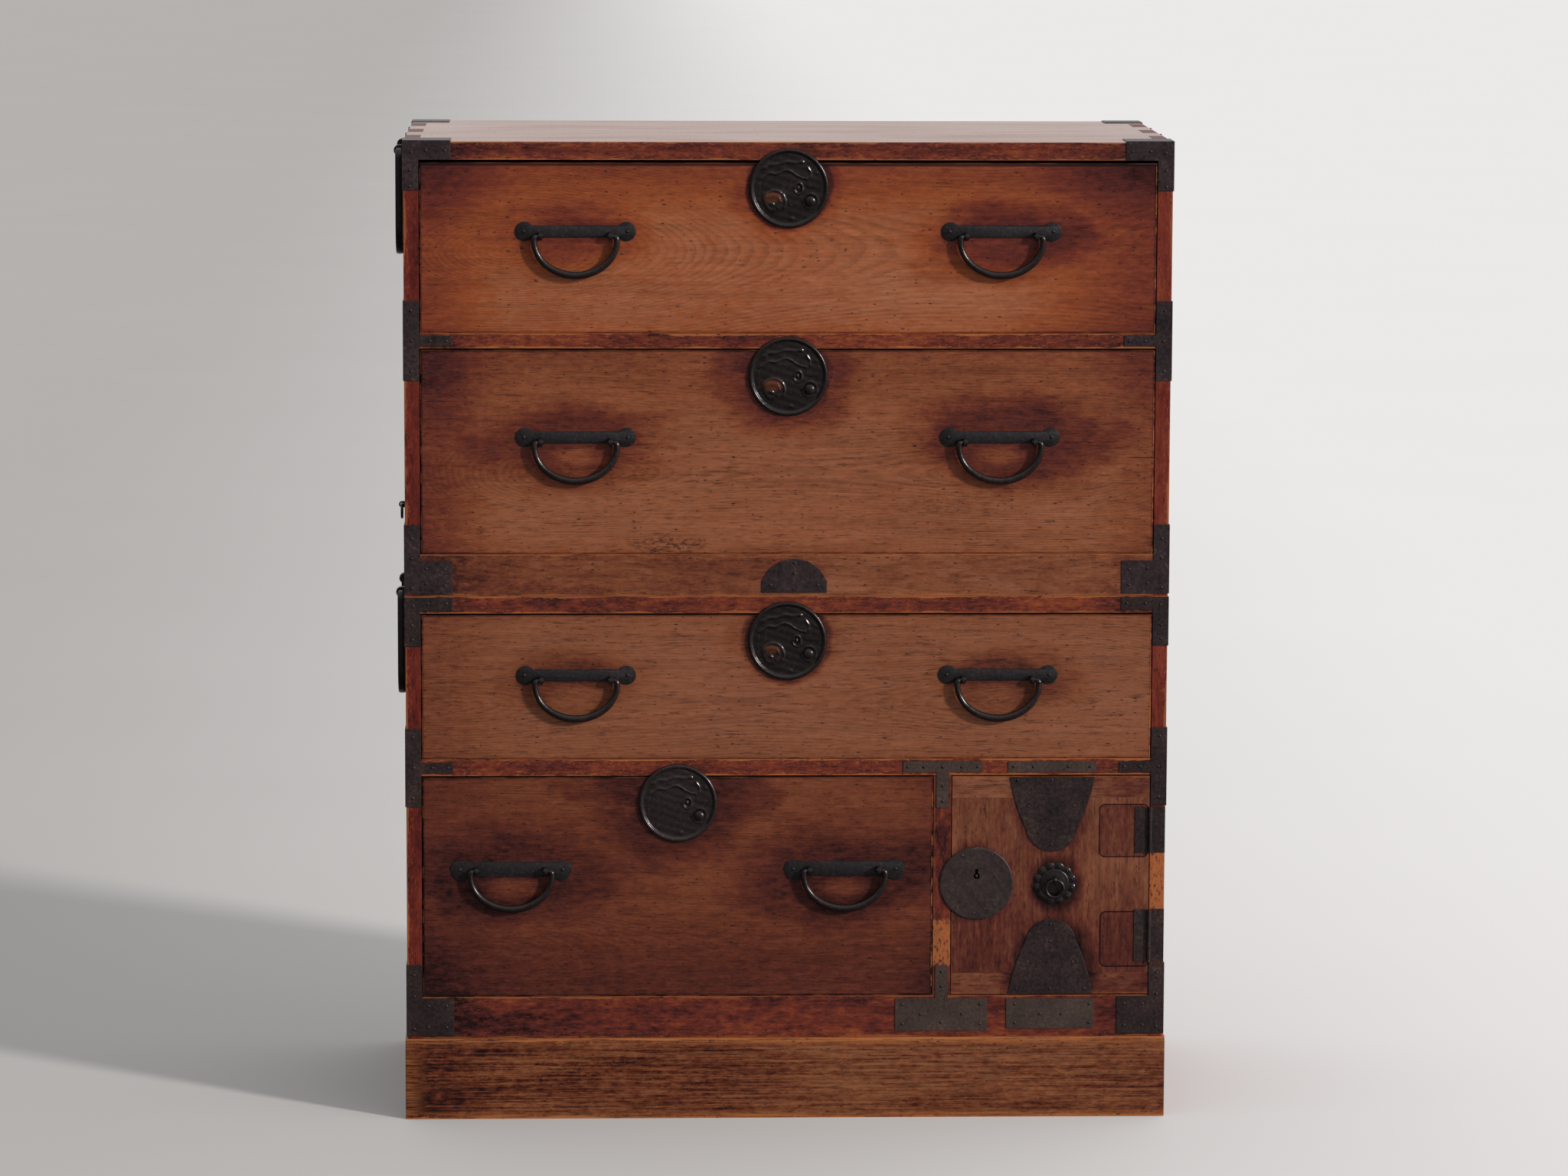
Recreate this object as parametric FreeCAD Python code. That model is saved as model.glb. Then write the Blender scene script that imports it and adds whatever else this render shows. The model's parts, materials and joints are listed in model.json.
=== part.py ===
import FreeCAD, Part
import math
import os
from FreeCAD import Vector

# Two-section Japanese clothing chest. Millimetres, +X right, +Y back, +Z up.
# The origin is on the floor, under the centre of the bounding box.

# Whole chest
carcass_width = 910.0
carcass_depth = 440.0

# Boards of the two cases
side_thickness = 18.0
housing_depth = 6.0
back_thickness = 10.0
back_plank_count = 5
upper_top_thickness = 22.0
lower_top_thickness = 21.0
finger_count = 7
dust_board_thickness = 9.0
bottom_board_thickness = 12.0
shelf_rail_depth = 32.0
bottom_rail_depth = 22.0
edge_wear = 1.2

# Heights of what the front shows, from the floor up
plinth_height = 98.0
lower_rail_height = 51.0
opening_four_height = 269.0
lower_shelf_height = 20.0
opening_three_height = 176.0
upper_rail_height = 50.5
opening_two_height = 245.5
upper_shelf_height = 18.0
opening_one_height = 205.0

# Base frame
plinth_side_proud = 2.5
plinth_front_proud = 4.0
plinth_thickness = 22.0
plinth_bevel = 2.5
cross_board_width = 60.0
cross_board_height = 34.0

# Partition and door compartment
divider_thickness = 21.0
door_opening_width = 239.5
door_thickness = 18.0
door_side_gap = 1.0
door_height_gap = 1.5
door_batten_height = 26.0
door_proud = 0.6
door_tongue = 5.0

# Drawers
drawer_side_gap = 1.0
drawer_running_gap = 0.3
drawer_top_gap = 1.6
first_drawer_top_gap = 3.0
drawer_proud = 0.6
drawer_front_thickness = 20.0
drawer_lap = 8.0
drawer_side_thickness = 12.0
drawer_back_thickness = 12.0
drawer_bottom_thickness = 9.0
drawer_rear_gap = 9.0
drawer_side_drop = 4.0
front_edge_chamfer = 1.0

# Small drawers behind the door
inner_drawer_count = 3
inner_shelf_thickness = 9.0
inner_setback = 30.0
inner_front_thickness = 12.0
inner_side_thickness = 7.0
inner_bottom_thickness = 5.0
inner_gap = 0.8
inner_pull_radius = 6.5
inner_pull_reach = 9.0
inner_pull_neck = 3.0
inner_rosette_radius = 9.0
inner_rosette_thickness = 1.0

# Iron sheet on the cases
iron = 1.2
iron_leg = 56.0
side_leaf = 54.0
top_leaf = 50.0
rear_leaf = 46.0
top_corner_drop = 58.0
lower_corner_drop = 59.0
lower_corner_leg_height = 16.0
lower_corner_edge = 1.5
mid_iron_length = 95.0
mid_leg_height = 12.5
foot_iron_height = 40.0
foot_iron_edge = 2.5
foot_iron_rise = 83.0
lower_foot_height = 46.0
lower_foot_edge = 3.5
lower_foot_rise = 87.0
half_moon_width = 78.0
half_moon_height = 41.0
half_moon_centre = 8.0
half_moon_edge = 4.0
half_moon_flank = 14.0

# Iron sheet round the divider and the door
tee_bar_width = 95.0
tee_bar_height = 13.0
tee_stem_width = 15.0
tee_stem_drop = 40.0
tee_foot_width = 111.0
tee_foot_height = 40.0
tee_foot_stem = 37.0
tee_foot_edge = 7.5
rail_plate_width = 106.0
rail_plate_right = 1.25
low_plate_height = 37.0
low_plate_edge = 10.0
shield_width = 102.0
shield_height = 91.0
shield_edge = 1.0

# Lock plates of the drawers
lock_radius = 47.0
lock_plate_thickness = 1.4
lock_rim_width = 5.0
lock_rim_height = 3.4
lock_drop = 33.0
keyhole_radius = 3.2
keyhole_slot = 6.5
keyhole_slot_width = 2.2
keyhole_offset = 11.0
medallion_radius = 14.0
medallion_height = 1.2
medallion_rim = 1.6
medallion_left = 18.5
medallion_drop = 17.0
button_right = 25.5
button_drop = 15.0
button_radius = 5.4
button_crown = 1.4
button_edge = 1.2
button_stem_radius = 3.6
button_clearance = 0.35
button_standoff = 3.0
button_travel = 2.4
button_stem_short = 4.0
lock_case_width = 74.0
lock_case_height = 52.0
lock_case_thickness = 9.0

# Drawer handles
bar_sides = 8
corner_steps = 2
side_steps = 4
low_steps = 6
ring_steps = 16
small_sides = 10
disc_sides = 36
curve_steps = 6
end_steps = 8
bail_radius = 3.2
bail_half_width = 49.0
bail_corner = 4.2
bail_lead = 0.8
bail_side_share = 0.775
bail_side_angle = 50.0
bail_pin_radius = 2.4
pin_clearance = 0.06
bail_post_offset = 41.5
post_width = 4.6
post_radius = 4.6
post_pin_overhang = 2.4
bail_standoff = 3.4
handle_plate_length = 143.0
handle_plate_end_radius = 11.4
handle_plate_rise = 5.5
handle_plate_half_height = 7.2
flared_plate_height = 23.7
flared_plate_waist = 19.2
flared_plate_flare = 24.0
handle_spacing_share = 0.5767
fourth_handle_spacing_share = 0.651
handle_one_height = 115.3
handle_two_height = 134.3
handle_three_height = 96.3
handle_four_height = 154.5
post_under_plate_top = 10.2

# Door lock, rosette and ring
door_lock_radius = 44.5
door_lock_thickness = 1.8
door_lock_inset = 31.0
door_fitting_height = 137.0
door_keyhole_rise = 9.0
rosette_radius = 26.0
rosette_thickness = 1.4
rosette_lobes = 12
rosette_lobe_bulge = 1.8
rosette_boss_radius = 17.0
rosette_boss_height = 2.2
rosette_right = 5.25
ring_radius = 10.5
ring_bar = 1.7
ring_clearance = 0.45
ring_eye_width = 3.0
ring_eye_wall = 1.8
ring_standoff = 3.0
ring_rise = 5.0

# Door hinges
hinge_barrel_radius = 2.5
hinge_pin_radius = 1.1
hinge_gap = 0.3
hinge_leaf_width = 15.0
hinge_leaf_inset = 3.0
upper_hinge_height = 56.0
lower_hinge_height = 64.0
upper_hinge_drop = 39.0
lower_hinge_rise = 41.0
hinge_knuckle_count = 3

# Carrying handles on the sides
pole_bar_radius = 4.5
pole_drop = 122.0
pole_half_width = 78.0
pole_corner = 8.5
pole_lead = 1.5
pole_low_corner = 30.0
pole_pin_radius = 3.7
pole_post_width = 9.0
pole_post_radius = 6.4
pole_post_inset = 10.5
pole_pin_overhang = 3.0
pole_standoff = 3.2
pole_plate_radius = 21.0
pole_plate_thickness = 1.6
upper_pole_below_top = 20.0
lower_pole_below_top = 16.0

# Small ring low on the left side of the upper case
side_ring_radius = 8.0
side_ring_bar = 1.5
side_ring_height = 103.0
side_ring_setback = 62.0
side_ring_plate = 11.0
side_ring_standoff = 2.4

overrun = 5.0

# Places that follow from the sizes
half_width = carcass_width / 2
inner_half = half_width - side_thickness
handle_pivot_out = iron + bail_standoff + bail_radius
front_reach = drawer_proud + handle_pivot_out + post_radius
front = (front_reach - carcass_depth) / 2
rear = front + carcass_depth
back_inner = rear - back_thickness

lower_base = plinth_height
lower_floor = lower_base + lower_rail_height
lower_shelf_under = lower_floor + opening_four_height
lower_shelf_top = lower_shelf_under + lower_shelf_height
lower_top_under = lower_shelf_top + opening_three_height
upper_base = lower_top_under + lower_top_thickness
upper_floor = upper_base + upper_rail_height
upper_shelf_under = upper_floor + opening_two_height
upper_shelf_top = upper_shelf_under + upper_shelf_height
upper_top_under = upper_shelf_top + opening_one_height
chest_top = upper_top_under + upper_top_thickness

divider_right = inner_half - door_opening_width
divider_left = divider_right - divider_thickness
divider_centre = (divider_left + divider_right) / 2
door_centre = (divider_right + inner_half) / 2
rail_plate_centre = door_centre + rail_plate_right
door_lock_centre = divider_right + door_lock_inset
rosette_centre = door_centre + rosette_right

X_AXIS = Vector(1, 0, 0)
Y_AXIS = Vector(0, 1, 0)
Z_AXIS = Vector(0, 0, 1)
ORIGIN = Vector(0, 0, 0)


# Shape helpers

def box(x0, x1, y0, y1, z0, z1):
    return Part.makeBox(x1 - x0, y1 - y0, z1 - z0, Vector(x0, y0, z0))


def cylinder(radius, start, axis, length):
    return Part.makeCylinder(radius, length, start, axis)


def fuse(shapes):
    joined = shapes[0] if len(shapes) == 1 else shapes[0].multiFuse(shapes[1:])
    return joined.removeSplitter()


def mirrored(shape):
    return shape.mirror(ORIGIN, X_AXIS)


def both_sides(shape):
    return [shape, mirrored(shape)]


def xz(x, z):
    return Vector(x, 0, z)


def curve(a, middle, b):
    """Points on the arc through three points, without the first one."""
    return Part.Arc(a, middle, b).toShape().discretize(curve_steps + 1)[1:]


def sheet(corners, y, thickness):
    """A flat sheet from corners in X and Z, standing forward of the plane y."""
    plate = closed_face(corners).extrude(-Y_AXIS * thickness)
    plate.translate(Y_AXIS * y)
    return plate


def turned(profile, centre, axis_vector):
    """A solid of revolution: profile rows are (radius, height along the axis)."""
    points = [Vector(r, 0, h) for r, h in profile]
    points.append(points[0])
    solid = Part.Face(Part.makePolygon(points)).revolve(ORIGIN, Z_AXIS, 360)
    solid.Placement = FreeCAD.Placement(centre, FreeCAD.Rotation(Z_AXIS, axis_vector))
    return solid


def across_axis(axis):
    """Two directions square to an axis along X, Y or Z."""
    first = Z_AXIS if abs(axis.z) < 0.5 else X_AXIS
    return first, axis.cross(first)


def ring_of_corners(centre, axis, radius, sides):
    """The corners of a regular polygon whose flats touch a circle of this radius."""
    u, v = across_axis(axis)
    size = radius / math.cos(math.pi / sides)
    turns = [2 * math.pi * (i + 0.5) / sides for i in range(sides)]
    return [centre + u * (size * math.cos(t)) + v * (size * math.sin(t)) for t in turns]


def closed_face(corners):
    return Part.Face(Part.makePolygon(corners + corners[:1]))


def prism(radius, start, axis, length, sides):
    return closed_face(ring_of_corners(start, axis, radius, sides)).extrude(axis * length)


def skinned(rings, closed):
    """A solid with flat faces between rings of corners that match one to one."""
    faces = []
    for i in range(len(rings) if closed else len(rings) - 1):
        near = rings[i]
        far = rings[(i + 1) % len(rings)]
        for k in range(len(near)):
            n = (k + 1) % len(near)
            faces.append(closed_face([near[k], near[n], far[n], far[k]]))
    if not closed:
        faces += [closed_face(rings[0]), closed_face(rings[-1])]
    solid = Part.Solid(Part.Shell(faces))
    return solid if solid.Volume > 0 else solid.reversed()


def stacked(profile, centre, axis, sides):
    """A small turned piece with flats: profile rows are (radius, height along the axis)."""
    rings = [ring_of_corners(centre + axis * height, axis, radius, sides) for radius, height in profile]
    return skinned(rings, False).removeSplitter()


def arc_points(centre, radius, start, end, steps):
    """Points on an arc in a drawing plane, from one angle to another in degrees."""
    turns = [math.radians(start + (end - start) * i / steps) for i in range(steps + 1)]
    return [(centre[0] + radius * math.cos(t), centre[1] + radius * math.sin(t)) for t in turns]


def eye(base, out, along, reach, radius, bore, width):
    """A neck with a round end, standing out from its base and bored along its width."""
    size = radius / math.cos(math.pi / bar_sides)
    turn = 90 - 180 / bar_sides
    rim = arc_points((reach, 0), size, -turn, turn, bar_sides // 2 - 1)
    start = base - along * (width / 2)
    corners = [start + out * a + Z_AXIS * b for a, b in [(0, -radius)] + rim + [(0, radius)]]
    hole = prism(bore, start + out * reach - along * width, along, 3 * width, bar_sides)
    return closed_face(corners).extrude(along * width).cut(hole)


class Plane:
    """A drawing plane with its own u and v, for handles forged from many-sided bar."""

    def __init__(self, origin, u, v):
        self.origin = origin
        self.u = u
        self.v = v
        self.normal = u.cross(v)

    def at(self, point):
        return self.origin + self.u * point[0] + self.v * point[1]

    def bar(self, path, radius, closed=False):
        """A bar along a path, mitred at every point; its flats lie along the plane."""
        size = radius / math.cos(math.pi / bar_sides)
        count = len(path)
        places = [self.at(point) for point in path]
        turns = [2 * math.pi * (k + 0.5) / bar_sides for k in range(bar_sides)]
        rings = []
        for i, place in enumerate(places):
            before = places[i - 1] if closed or i > 0 else place * 2 - places[i + 1]
            after = places[(i + 1) % count] if closed or i < count - 1 else place * 2 - before
            run_in = (place - before).normalize()
            run_out = (after - place).normalize()
            tangent = (run_in + run_out).normalize()
            across = tangent.cross(self.normal) * (1 / tangent.dot(run_in))
            rings.append([place + across * (size * math.cos(t)) + self.normal * (size * math.sin(t))
                          for t in turns])
        return skinned(rings, closed)

    def pin(self, a, b, radius):
        """A straight end of a handle that turns in its eye, inside a circle of this radius."""
        start = self.at(a)
        run = self.at(b) - start
        inner = radius * math.cos(math.pi / bar_sides)
        return prism(inner, start, run.normalize(), (self.at(b) - start).Length, bar_sides)


# Case boards

def finger_cuts(x0, x1, z0, z1, odd):
    """The gaps of a finger joint along the depth of a case."""
    pitch = carcass_depth / finger_count
    return [box(x0, x1, front + i * pitch, front + (i + 1) * pitch, z0, z1)
            for i in range(finger_count) if (i % 2 == 1) == odd]


def side_boards(base, top, top_thickness, floors):
    """Two side boards, fingered into the top board and grooved for each floor."""
    board = box(inner_half, half_width, front, rear, base, top)
    cuts = finger_cuts(inner_half, half_width, top - top_thickness, top, False)
    for floor, thickness in floors:
        cuts.append(box(inner_half, inner_half + housing_depth, front + bottom_rail_depth,
                        back_inner, floor - thickness, floor))
    return both_sides(board.cut(Part.makeCompound(cuts)))


def top_board(top, thickness):
    board = box(-half_width, half_width, front, rear, top - thickness, top)
    cuts = []
    for x0, x1 in ((-half_width, -inner_half), (inner_half, half_width)):
        cuts += finger_cuts(x0, x1, top - thickness, top, True)
    return board.cut(Part.makeCompound(cuts))


def back_boards(base, top):
    pitch = 2 * inner_half / back_plank_count
    return [box(-inner_half + i * pitch, -inner_half + (i + 1) * pitch, back_inner, rear, base, top)
            for i in range(back_plank_count)]


def floor_board(top, thickness, start):
    """A board housed in the side boards, up to the back boards."""
    return box(-inner_half - housing_depth, inner_half + housing_depth, front + start,
               back_inner, top - thickness, top)


def bottom_boards(base, floor):
    rail = box(-inner_half, inner_half, front, front + bottom_rail_depth, base, floor)
    board = floor_board(floor, bottom_board_thickness, bottom_rail_depth)
    batten = box(-inner_half, inner_half, back_inner - bottom_rail_depth, back_inner,
                 base, floor - bottom_board_thickness)
    return [rail, board, batten]


def shelf(under, top):
    rail = box(-inner_half, inner_half, front, front + shelf_rail_depth, under, top)
    board = floor_board(top, dust_board_thickness, shelf_rail_depth)
    tongue = box(-inner_half - housing_depth, -inner_half, front + bottom_rail_depth,
                 front + shelf_rail_depth, top - dust_board_thickness, top)
    rail = rail.fuse([tongue, mirrored(tongue)])
    return [rail.removeSplitter(), board]


# Base frame

def plinth_long_boards():
    width = half_width + plinth_side_proud
    face = front - plinth_front_proud
    front_board = box(-width, width, face, face + plinth_thickness, 0, plinth_height)
    bevel_edges = [e for e in front_board.Edges
                   if e.BoundBox.YMax < face + edge_wear and e.BoundBox.ZMin > plinth_height - edge_wear]
    front_board = front_board.makeChamfer(plinth_bevel, bevel_edges)
    rear_board = box(-width, width, rear - plinth_thickness, rear, 0, plinth_height)
    return [front_board, rear_board]


def plinth_side_boards():
    width = half_width + plinth_side_proud
    return both_sides(box(width - plinth_thickness, width, front - plinth_front_proud + plinth_thickness,
                          rear - plinth_thickness, 0, plinth_height))


def plinth_cross_boards():
    reach = half_width + plinth_side_proud - plinth_thickness
    middle = reach / 3
    return both_sides(box(middle - cross_board_width / 2, middle + cross_board_width / 2,
                          front - plinth_front_proud + plinth_thickness, rear - plinth_thickness,
                          plinth_height - cross_board_height, plinth_height))


# Partition and small drawers

def divider():
    tall = box(divider_left, divider_right, front + shelf_rail_depth, back_inner,
               lower_floor, lower_shelf_top - dust_board_thickness)
    low = box(divider_left, divider_right, front, front + shelf_rail_depth,
              lower_floor, lower_shelf_under)
    return fuse([tall, low])


inner_pitch = (opening_four_height + inner_shelf_thickness) / inner_drawer_count
inner_ceiling = lower_shelf_top - dust_board_thickness


def inner_shelves():
    return [box(divider_right, inner_half, front + inner_setback, back_inner,
                lower_floor + i * inner_pitch - inner_shelf_thickness, lower_floor + i * inner_pitch)
            for i in range(1, inner_drawer_count)]


def inner_drawer_parts(index):
    """The front and the box of one small drawer; it stands on the shelf below it."""
    base = lower_floor + index * inner_pitch
    top = base + inner_pitch - inner_shelf_thickness - inner_gap
    x0 = divider_right + inner_gap
    x1 = inner_half - inner_gap
    y0 = front + inner_setback
    y1 = back_inner - drawer_rear_gap
    panel = box(x0, x1, y0, y0 + inner_front_thickness, base, top)
    behind = y0 + inner_front_thickness
    side_top = top - drawer_side_drop
    floor = base + inner_bottom_thickness
    bottom = box(x0, x1, behind, y1, base, floor)
    left = box(x0, x0 + inner_side_thickness, behind, y1, floor, side_top)
    right = box(x1 - inner_side_thickness, x1, behind, y1, floor, side_top)
    back = box(x0 + inner_side_thickness, x1 - inner_side_thickness, y1 - inner_side_thickness, y1,
               floor, side_top)
    return panel, [bottom, left, right, back]


def inner_pull(index):
    """A turned iron knob on a round washer, in the middle of a small drawer."""
    height = lower_floor + index * inner_pitch + (inner_pitch - inner_shelf_thickness) / 2
    centre = Vector((divider_right + inner_half) / 2, front + inner_setback, height)
    neck_end = inner_pull_reach - inner_pull_radius
    return stacked([(inner_rosette_radius, 0), (inner_rosette_radius, inner_rosette_thickness),
                    (inner_pull_neck, inner_rosette_thickness), (inner_pull_neck, neck_end),
                    (inner_pull_radius, inner_pull_reach - inner_pull_neck),
                    (inner_pull_neck, inner_pull_reach)], centre, -Y_AXIS, small_sides)


# Drawers

class Drawer:
    def __init__(self, name, x0, x1, base, top, top_gap, spacing_share, handle_height, flared):
        self.name = name
        self.x0 = x0 + drawer_side_gap
        self.x1 = x1 - drawer_side_gap
        self.base = base + drawer_running_gap
        self.top = top - top_gap
        self.centre = (x0 + x1) / 2
        self.spacing = (x1 - x0) * spacing_share
        self.pivot = base + handle_height
        self.flared = flared
        self.face = front - drawer_proud
        self.lock = Vector(self.centre, self.face, top - lock_drop)
        self.button = self.lock + Vector(button_right, 0, -button_drop)


drawers = [
    Drawer("drawer_1", -inner_half, inner_half, upper_shelf_top, upper_top_under,
           first_drawer_top_gap, handle_spacing_share, handle_one_height, False),
    Drawer("drawer_2", -inner_half, inner_half, upper_floor, upper_shelf_under,
           drawer_top_gap, handle_spacing_share, handle_two_height, False),
    Drawer("drawer_3", -inner_half, inner_half, lower_shelf_top, lower_top_under,
           drawer_top_gap, handle_spacing_share, handle_three_height, False),
    Drawer("drawer_4", -inner_half, divider_left, lower_floor, lower_shelf_under,
           drawer_top_gap, fourth_handle_spacing_share, handle_four_height, True),
]


def drawer_front(d):
    """The front board, rebated at both ends and below for the box, bored for its lock button."""
    y1 = d.face + drawer_front_thickness
    board = box(d.x0, d.x1, d.face, y1, d.base, d.top)
    rim = [e for e in board.Edges if e.BoundBox.YMax < d.face + edge_wear]
    board = board.makeChamfer(front_edge_chamfer, rim)
    lap = d.face + drawer_lap
    cuts = [box(d.x0 - overrun, d.x0 + drawer_side_thickness, lap, y1 + overrun,
                d.base - overrun, d.top - drawer_side_drop),
            box(d.x1 - drawer_side_thickness, d.x1 + overrun, lap, y1 + overrun,
                d.base - overrun, d.top - drawer_side_drop),
            box(d.x0 - overrun, d.x1 + overrun, lap, y1 + overrun,
                d.base - overrun, d.base + drawer_bottom_thickness),
            prism(button_stem_radius + button_clearance, d.button - Y_AXIS * overrun, Y_AXIS,
                  drawer_front_thickness + 2 * overrun, small_sides)]
    return board.cut(Part.makeCompound(cuts))


def drawer_box(d):
    """Two sides, a back between them, and a bottom board nailed up under all three."""
    lap = d.face + drawer_lap
    y1 = back_inner - drawer_rear_gap
    floor = d.base + drawer_bottom_thickness
    top = d.top - drawer_side_drop
    bottom = box(d.x0, d.x1, lap, y1, d.base, floor)
    left = box(d.x0, d.x0 + drawer_side_thickness, lap, y1, floor, top)
    right = box(d.x1 - drawer_side_thickness, d.x1, lap, y1, floor, top)
    back = box(d.x0 + drawer_side_thickness, d.x1 - drawer_side_thickness,
               y1 - drawer_back_thickness, y1, floor, top)
    return [left, right, back, bottom]


def keyhole(centre, depth):
    """A round hole with a slot above it, cut from the plate at centre."""
    start = centre - Y_AXIS * depth
    hole = prism(keyhole_radius, start, Y_AXIS, 2 * depth, small_sides)
    slot = box(centre.x - keyhole_slot_width / 2, centre.x + keyhole_slot_width / 2,
               centre.y - depth, centre.y + depth, centre.z, centre.z + keyhole_slot)
    return hole.fuse(slot)


def lock_plate(d):
    """A round plate with a rolled rim, a keyhole, a button hole and a low medallion."""
    plate = turned([(0, 0), (lock_radius, 0), (lock_radius, lock_rim_height),
                    (lock_radius - lock_rim_width / 2, lock_rim_height),
                    (lock_radius - lock_rim_width, lock_plate_thickness),
                    (0, lock_plate_thickness)], d.lock, -Y_AXIS)
    cuts = [keyhole(d.lock + X_AXIS * keyhole_offset, lock_rim_height),
            prism(button_stem_radius + button_clearance, d.button - Y_AXIS * lock_rim_height,
                  Y_AXIS, 2 * lock_rim_height, small_sides)]
    plate = plate.cut(Part.makeCompound(cuts))
    if not d.flared:
        spot = d.lock + Vector(-medallion_left, -lock_plate_thickness, -medallion_drop)
        medallion = stacked([(medallion_radius, 0), (medallion_radius - medallion_rim, medallion_height)],
                            spot, -Y_AXIS, 2 * small_sides)
        plate = fuse([plate, medallion])
    return plate


def lock_case(d):
    """The lock behind the front board, level with the plate."""
    y0 = d.face + drawer_front_thickness
    top = min(d.lock.z + lock_case_height / 2, d.top - drawer_side_drop)
    return box(d.centre - lock_case_width / 2, d.centre + lock_case_width / 2,
               y0, y0 + lock_case_thickness, top - lock_case_height, top)


def lock_button(d):
    """A crowned push button on a stem that runs through the plate and the front board."""
    under = lock_plate_thickness + button_standoff
    head = stacked([(button_radius, 0), (button_radius, button_edge),
                    (button_radius / 2, button_edge + button_crown)],
                   d.button - Y_AXIS * under, -Y_AXIS, small_sides)
    stem = prism(button_stem_radius, d.button - Y_AXIS * under, Y_AXIS,
                 under + drawer_front_thickness - button_stem_short, small_sides)
    return fuse([head, stem])


def eye_post(x, face, height):
    """An eye that stands from a drawer through its handle plate, for one end of a handle."""
    return eye(Vector(x, face, height), -Y_AXIS, X_AXIS, handle_pivot_out, post_radius,
               bail_pin_radius + pin_clearance, post_width)


def dumbbell_plate(centre, face, height):
    """A long plate with round ends and a lower bar, its middle above the handle's ends."""
    level = height + handle_plate_rise
    reach = handle_plate_length / 2 - handle_plate_end_radius
    turn = 180 - math.degrees(math.asin(handle_plate_half_height / handle_plate_end_radius))
    end = arc_points((reach, 0), handle_plate_end_radius, -turn, turn, end_steps)
    outline = end + [(-a, b) for a, b in reversed(end)]
    return sheet([xz(centre + a, level + b) for a, b in outline], face, iron)


def flared_plate(centre, face, height):
    """A straight-topped plate whose ends flare down and run out to points."""
    half = handle_plate_length / 2
    top = height + post_under_plate_top
    low = top - flared_plate_height
    waist = top - flared_plate_waist
    tip = top - flared_plate_height / 3
    shoulder = half - flared_plate_flare
    side = [xz(half - flared_plate_flare / 4, top), xz(half, tip)]
    side += curve(side[-1], xz(half - flared_plate_flare / 6, (tip + low) / 2),
                  xz(half - flared_plate_flare / 2, low))
    side += curve(side[-1], xz(shoulder + flared_plate_flare / 8, (low + waist) / 2 - iron / 2),
                  xz(shoulder, waist))
    other = [xz(-corner.x, corner.z) for corner in reversed(side)]
    plate = sheet(side + other, face, iron)
    plate.translate(X_AXIS * centre)
    return plate


def drawer_irons(d):
    parts = [lock_plate(d), lock_case(d)]
    for s in (-1, 1):
        centre = d.centre + s * d.spacing / 2
        plate = (flared_plate if d.flared else dumbbell_plate)(centre, d.face, d.pivot)
        posts = [eye_post(centre + k * bail_post_offset, d.face, d.pivot) for k in (-1, 1)]
        parts.append(fuse([plate] + posts))
    return parts


def bail(centre, face, height):
    """A D-shaped handle forged from bar, its ends drawn down and turned in through the eyes."""
    plane = Plane(Vector(centre, face - handle_pivot_out, height), X_AXIS, Z_AXIS)
    side_radius = bail_half_width * bail_side_share
    side_centre = bail_half_width - side_radius
    turn = math.radians(bail_side_angle)
    reach = side_centre / math.cos(turn)
    low_radius = side_radius + reach
    low_centre = reach * math.sin(turn) - bail_corner
    pin_end = bail_post_offset - post_width / 2 - post_pin_overhang
    bend_start = bail_half_width - bail_corner
    pin_start = bend_start - bail_lead
    corner = (bend_start, -bail_corner)
    flank = (side_centre, -bail_corner)
    half = [(pin_start, 0)] + arc_points(corner, bail_corner, 90, 0, corner_steps)
    half += arc_points(flank, side_radius, 0, -bail_side_angle, side_steps)[1:]
    low = arc_points((0, low_centre), low_radius, -bail_side_angle, bail_side_angle - 180, low_steps)
    path = half + low[1:-1] + [(-a, b) for a, b in reversed(half)]
    parts = [plane.bar(path, bail_radius)]
    for s in (-1, 1):
        parts.append(plane.pin((s * pin_end, 0), (s * pin_start, 0), bail_pin_radius))
    return fuse(parts)


# Iron sheet on the cases

def corner_iron(front_boxes, z0, z1, leaf):
    """A right-hand corner iron: legs on the front, and a leaf round the side board."""
    legs = [box(x0, half_width + iron, front - iron, front, a, b) for x0, a, b in front_boxes]
    wrap = box(half_width, half_width + iron, front - iron, front + leaf, z0, z1)
    return legs + [wrap]


def upper_corner_irons():
    leg_x = half_width - iron_leg
    edge_x = inner_half
    top = corner_iron([(leg_x, upper_top_under, chest_top + iron),
                       (edge_x, chest_top - top_corner_drop, chest_top)],
                      chest_top - top_corner_drop, chest_top + iron, side_leaf)
    top.append(box(leg_x, half_width + iron, front - iron, front + top_leaf, chest_top, chest_top + iron))
    middle = (upper_shelf_under + upper_shelf_top) / 2
    tee = corner_iron([(leg_x, middle - mid_leg_height / 2, middle + mid_leg_height / 2),
                       (edge_x, middle - mid_iron_length / 2, middle + mid_iron_length / 2)],
                      middle - mid_iron_length / 2, middle + mid_iron_length / 2, side_leaf / 2)
    foot_low = upper_base + foot_iron_edge
    foot = corner_iron([(leg_x, foot_low, foot_low + foot_iron_height),
                        (edge_x, foot_low, foot_low + foot_iron_rise)],
                       foot_low, foot_low + foot_iron_rise, side_leaf)
    irons = [fuse(top), fuse(tee), fuse(foot), rear_iron(chest_top, top_corner_drop, True)]
    return irons + [mirrored(i) for i in irons] + [half_moon()]


def rear_iron(top, drop, with_top_leaf):
    """A leaf round the rear edge of a side board, turned over the top where that is free."""
    leaf_z = top + (iron if with_top_leaf else 0)
    side = box(half_width, half_width + iron, rear - rear_leaf, rear, top - drop, leaf_z)
    parts = [side]
    if with_top_leaf:
        parts.append(box(half_width - rear_leaf, half_width + iron, rear - rear_leaf, rear,
                         top, top + iron))
    return fuse(parts)


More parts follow.
